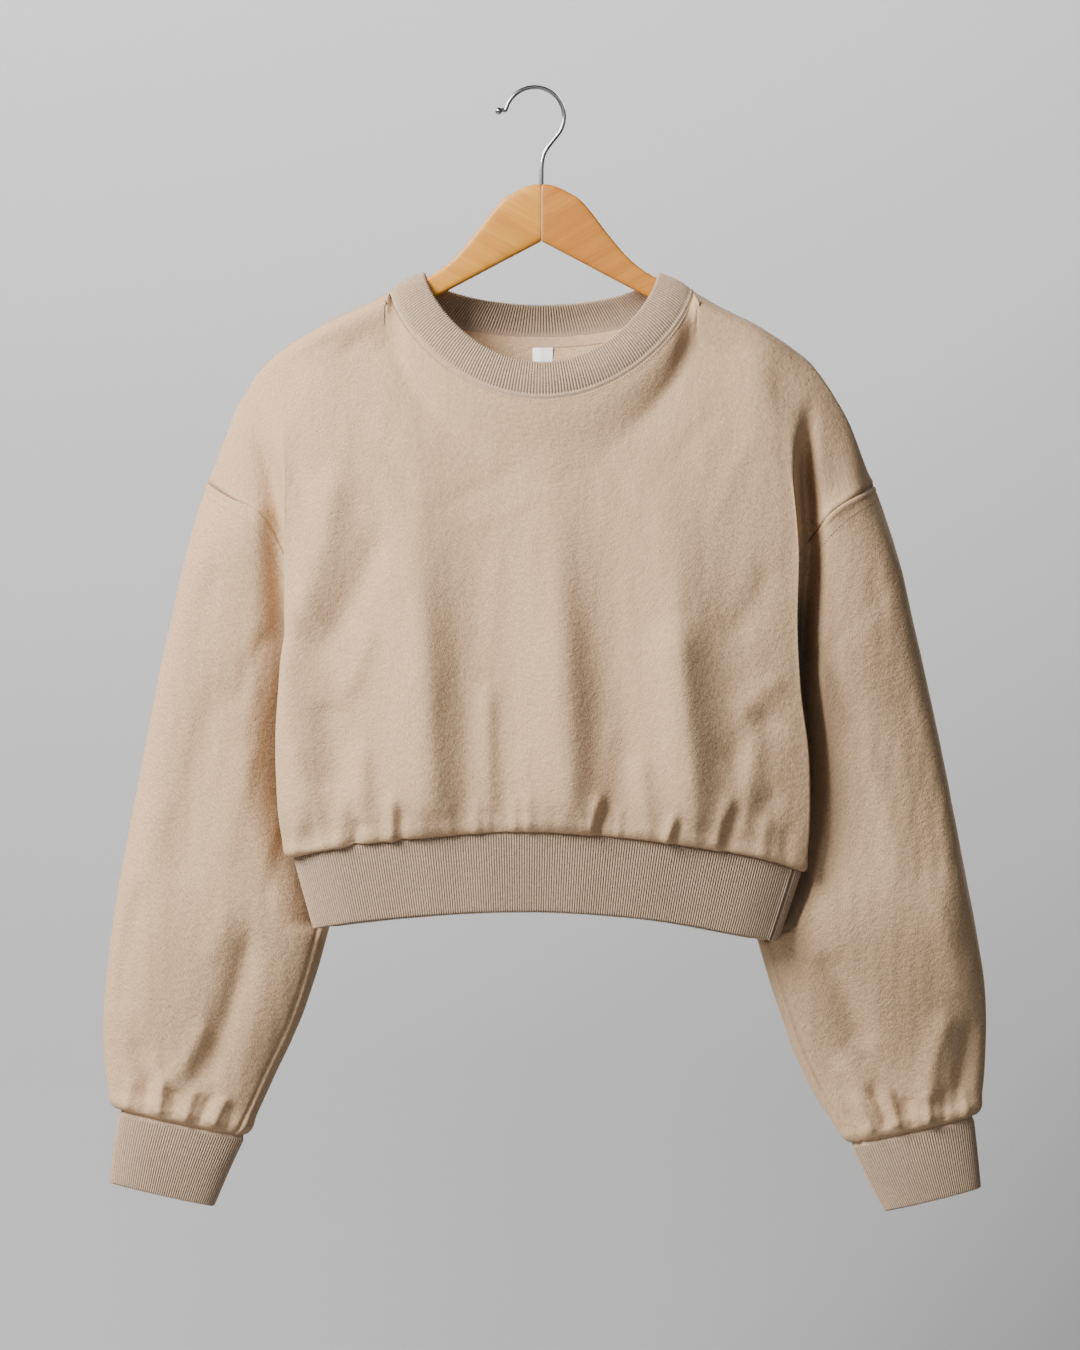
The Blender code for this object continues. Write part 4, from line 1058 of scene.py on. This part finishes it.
# ---- the hanger -------------------------------------------------------------------------------
def tube(name, rings, material, ends=True):
    """A closed skin through rings of points, each ring in order round it."""
    mesh = bmesh.new()
    sides = len(rings[0])
    loop = bmesh.ops.create_circle(mesh, cap_ends=False, segments=sides, radius=1.0)["verts"]
    loop = sorted(loop, key=lambda v: math.atan2(v.co.y, v.co.x) % (2 * math.pi))
    edges = list(mesh.edges)
    first = True
    for ring in rings:
        if not first:
            made = bmesh.ops.extrude_edge_only(mesh, edges=edges)["geom"]
            fresh = [g for g in made if isinstance(g, bmesh.types.BMVert)]
            edges = [g for g in made if isinstance(g, bmesh.types.BMEdge)
                     and all(v in fresh for v in g.verts)]
            loop = [next(e.other_vert(v) for e in v.link_edges if e.other_vert(v) in fresh)
                    for v in loop]
        for vert, point in zip(loop, ring):
            vert.co = Vector(point) * MM
        first = False
    if ends:
        bmesh.ops.holes_fill(mesh, edges=[e for e in mesh.edges if e.is_boundary], sides=0)
    bmesh.ops.recalc_face_normals(mesh, faces=mesh.faces)
    data = bpy.data.meshes.new(name)
    mesh.to_mesh(data)
    mesh.free()
    data.shade_smooth()
    data.set_sharp_from_angle(angle=math.radians(50))
    return show(name, data, material)


def make_arm(hand, material):
    """Half of the wood: a flat board with rounded edges, from the glued joint to its tip."""
    sign = -1 if hand == "left" else 1
    outs = np.concatenate([[0.12, 0.5, 1.4], np.linspace(4, 180, 74), [184, 187, 189, 190.4, 191.6]])
    angles = np.linspace(0, 2 * math.pi, 33)[:-1]
    rings = []
    for out in outs:
        top, low = float(ARM.at("top", out)), float(ARM.at("bottom", out))
        shrink = math.sqrt(max(1 - (max(out - 178, 0) / 13.8) ** 2, 0.02))
        joint = 0.94 if out < 0.3 else 0.985 if out < 1 else 1.0
        half, thick = (low - top) / 2 * shrink * joint, ARM_THICK / 2 * max(shrink, 0.4) * joint
        middle = (top + low) / 2
        soft = 0.42
        deep = signed_power(np.sin(angles), soft) * thick
        high = signed_power(np.cos(angles), soft) * half
        rings.append([(CENTRE_X + sign * out, y, -(middle - z)) for y, z in zip(deep, high)])
    piece = tube(f"hanger_arm_{hand}_wood", rings, material)
    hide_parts(f"hanger_arm_{hand}")
    return piece


def make_hook(material):
    """Plated wire: a round arc, a short sweep and a straight shank, with a ball at its end."""
    radius, wire = 23.6, 1.7
    arc = np.radians(np.linspace(171, -42, 80))
    path = [(-29.6, 18.4), (-28.0, 17.0), (-26.0, 14.9)]
    path += [(radius * math.cos(a), radius - wire - radius * math.sin(a)) for a in arc]
    path += [(15.4, 40.2), (12.8, 43.4), (10.3, 46.5), (8.4, 49.6), (6.9, 52.8), (6.1, 56.0),
             (5.7, 59.5), (CENTRE_X, 63.0), (CENTRE_X, 69.0), (CENTRE_X, 77.5)]
    path = np.array(path)
    for _ in range(2):
        path[1:-1] = (path[:-2] + 2 * path[1:-1] + path[2:]) / 4
    ahead = np.gradient(path, axis=0)
    ahead /= np.linalg.norm(ahead, axis=1, keepdims=True)
    sides = np.linspace(0, 2 * math.pi, 25)[:-1]
    rings = []
    for (x, drop), (run, fall) in zip(path, ahead):
        rings.append([(x + fall * wire * math.cos(a), wire * math.sin(a),
                       -(drop - run * wire * math.cos(a))) for a in sides])
    hook = tube("hook_wire_plated", rings, material)
    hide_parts("hook_wire")
    ball = bmesh.new()
    bmesh.ops.create_uvsphere(ball, u_segments=32, v_segments=20, radius=2.9 * MM)
    bmesh.ops.translate(ball, verts=ball.verts, vec=Vector((-28.6, 0, -17.4)) * MM)
    data = bpy.data.meshes.new("hook_ball")
    ball.to_mesh(data)
    ball.free()
    data.shade_smooth()
    return hook, show("hook_ball", data, material)


# ---- light and surroundings -------------------------------------------------------------------
def area_light(name, at, aim, size, power, colour):
    lamp = bpy.data.lights.new(name, "AREA")
    lamp.shape = "RECTANGLE"
    lamp.size, lamp.size_y = size
    lamp.energy = power
    lamp.color = colour
    thing = bpy.data.objects.new(name, lamp)
    bpy.context.scene.collection.objects.link(thing)
    thing.location = at
    thing.rotation_euler = (Vector(aim) - Vector(at)).to_track_quat("-Z", "Y").to_euler()
    return thing


def surroundings():
    """A pale seamless round studio, its colour painted darker towards +X and downwards as shade,
    soft light from the upper left and the camera.
    """
    floor_z, wall, bend, top_z = -2.8, 7.6, 1.5, 4.6
    profile = [(0.0, floor_z), (1.5, floor_z), (3.0, floor_z)]
    for k in range(13):
        a = k / 12 * math.pi / 2
        profile.append((wall - bend + bend * math.sin(a), floor_z + bend - bend * math.cos(a)))
    profile += [(wall, mix(floor_z + bend, top_z, k / 4)) for k in range(1, 5)]
    mesh = bmesh.new()
    line = [mesh.verts.new((0.0, y, z)) for y, z in profile]
    edges = [mesh.edges.new(pair) for pair in zip(line, line[1:])]
    bmesh.ops.spin(mesh, geom=line + edges, axis=(0, 0, 1), cent=(0, 0, 0), steps=96,
                   angle=2 * math.pi, use_merge=True)
    bmesh.ops.remove_doubles(mesh, verts=mesh.verts, dist=1e-5)
    bmesh.ops.recalc_face_normals(mesh, faces=mesh.faces)
    floor_face = min(mesh.faces, key=lambda f: f.calc_center_median().length_squared)
    if floor_face.normal.z < 0:
        bmesh.ops.reverse_faces(mesh, faces=mesh.faces)
    data = bpy.data.meshes.new("backdrop")
    mesh.to_mesh(data)
    mesh.free()
    data.shade_smooth()
    # Painted shade: the paper's colour darkens towards +X and downwards, standing in for light that
    # falls off across the backdrop.
    shaded_paper = Finish("backdrop_paper_painted_shade", 0.95)
    split = shaded_paper.node("SeparateXYZ", Vector=shaded_paper.place((0.455, 0.0, -0.513)))
    total = shaded_paper.node("Math", Value=split.outputs["X"])
    total.operation = "ADD"
    shaded_paper.tree.links.new(split.outputs["Z"], total.inputs[1])
    share = shaded_paper.node("MapRange", Value=total.outputs["Value"])
    share.inputs["From Min"].default_value = 0.0
    share.inputs["From Max"].default_value = 1.9
    shaded_paper.colour(shaded_paper.ramp(share.outputs["Result"], (0.15, 0.68), (1.0, 0.16), (0.6, 0.53)))
    data.materials.append(shaded_paper.material)
    backdrop = bpy.data.objects.new("backdrop", data)
    bpy.context.scene.collection.objects.link(backdrop)

    middle = (0, 0, -0.45)
    area_light("key", (-2.0, -1.6, 1.15), (-0.1, 0, -0.4), (1.5, 1.5), 252, (1.0, 0.985, 0.965))
    area_light("fill", (1.3, -4.2, 0.6), middle, (2.4, 2.4), 19, (0.90, 0.95, 1.0))
    area_light("wall_wash", (-1.2, 4.3, 3.3), (0, 7.6, -0.7), (3.4, 1.2), 330, (1, 1, 1))
    area_light("rear_left", (1.7, 3.4, 1.3), middle, (1.2, 1.2), 90, (1, 1, 1))
    area_light("rear_right", (-1.9, 3.2, 1.1), middle, (1.6, 1.6), 36, (1, 1, 1))

    world = bpy.data.worlds.new("studio")
    bpy.context.scene.world = world
    world.use_nodes = True
    background = world.node_tree.nodes["Background"]
    background.inputs["Color"].default_value = (0.9, 0.94, 1.0, 1.0)
    background.inputs["Strength"].default_value = 0.1

    lens = bpy.data.cameras.new("camera")
    lens.lens = 150
    lens.sensor_width = 36
    camera = bpy.data.objects.new("camera", lens)
    bpy.context.scene.collection.objects.link(camera)
    camera.location = (0.0044, -4.5, -0.4686)
    camera.rotation_euler = (math.pi / 2, 0, 0)
    bpy.context.scene.camera = camera


def main():
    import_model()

    fleece = knit("fleece_heather", (0.685, 0.472, 0.288), (0.47, 0.298, 0.163))
    rib_cloth = knit("rib_heather", (0.585, 0.425, 0.295), (0.42, 0.287, 0.184), fuzz=0.00012,
                     ribbed=True)
    tape_cloth = knit("tape_heather", (0.62, 0.42, 0.27), (0.46, 0.29, 0.175), fuzz=0.00012)
    thread = plain("sewing_thread", (0.42, 0.285, 0.175), 0.8)
    wood_left = varnished_wood("wood_left", (0.76, 0.335, 0.036), (0.61, 0.235, 0.02), -0.5)
    wood_right = varnished_wood("wood_right", (0.62, 0.235, 0.027), (0.46, 0.15, 0.014), 0.5)
    chrome = plain("plated_wire", (0.42, 0.42, 0.43), 0.2, Metallic=1.0)
    label_cloth = satin("label_satin")

    front, front_grid, front_normals = make_panel("front", fleece)
    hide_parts("panel_front")
    back, back_grid, back_normals = make_panel("back", fleece)
    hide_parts("panel_back")
    for hand, table in (("left", LEFT_CUFF), ("right", RIGHT_CUFF)):
        sleeve, grid, normals = make_sleeve(hand, fleece)
        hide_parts("sleeve_" + hand)
        cuff, _, _, length = make_band(f"cuff_{hand}_rib", cuff_points(table), CUFF_PITCH,
                                       CUFF_TALL, RIB, 0.0, BAND_RELIEF, rib_cloth,
                                       31, seam=0.47)
        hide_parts("cuff_" + hand)
        stitches(f"armhole_stitches_{hand}", grid[STITCH_RING] + normals[STITCH_RING] * 0.15,
                 normals[STITCH_RING], thread)
    band, _, _, length = make_band("waistband_rib", waist_points, WAIST_PITCH, WAIST_TALL, RIB,
                                   0.0, BAND_RELIEF, rib_cloth, 41, seam=0.484)
    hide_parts("waistband")
    collar, _, _, length = make_band("collar_rib", collar_points, COLLAR_PITCH, COLLAR_TALL, RIB,
                                     PLAIN_EDGE, COLLAR_RELIEF, rib_cloth, 51)
    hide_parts("collar")
    columns = np.concatenate([half_shares()[::-1], half_shares()[1:]])
    at_neck = columns < NECK_SHARE * 0.98
    for side, grid, normals in (("front", front_grid, front_normals),
                                ("back", back_grid, back_normals)):
        stitches(f"collar_stitches_{side}", (grid[1] + normals[1] * 0.1)[at_neck],
                 normals[1][at_neck], thread, pitch=2.4, length=1.7, radius=0.24)
    tape, _, _ = on_back("neck_tape_strip", (-0.36, 0.36), 0.004, 0.026, 0.6, 0.8, 80, 8, tape_cloth)
    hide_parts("neck_tape")
    label, _, _ = on_back("neck_label_blank", (-0.0114, 0.0214), 0.026, 0.09, 1.6, 0.35, 16, 24,
                          label_cloth, curl=1.2)
    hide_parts("neck_label")
    make_arm("left", wood_left)
    make_arm("right", wood_right)
    make_hook(chrome)
    surroundings()


main()
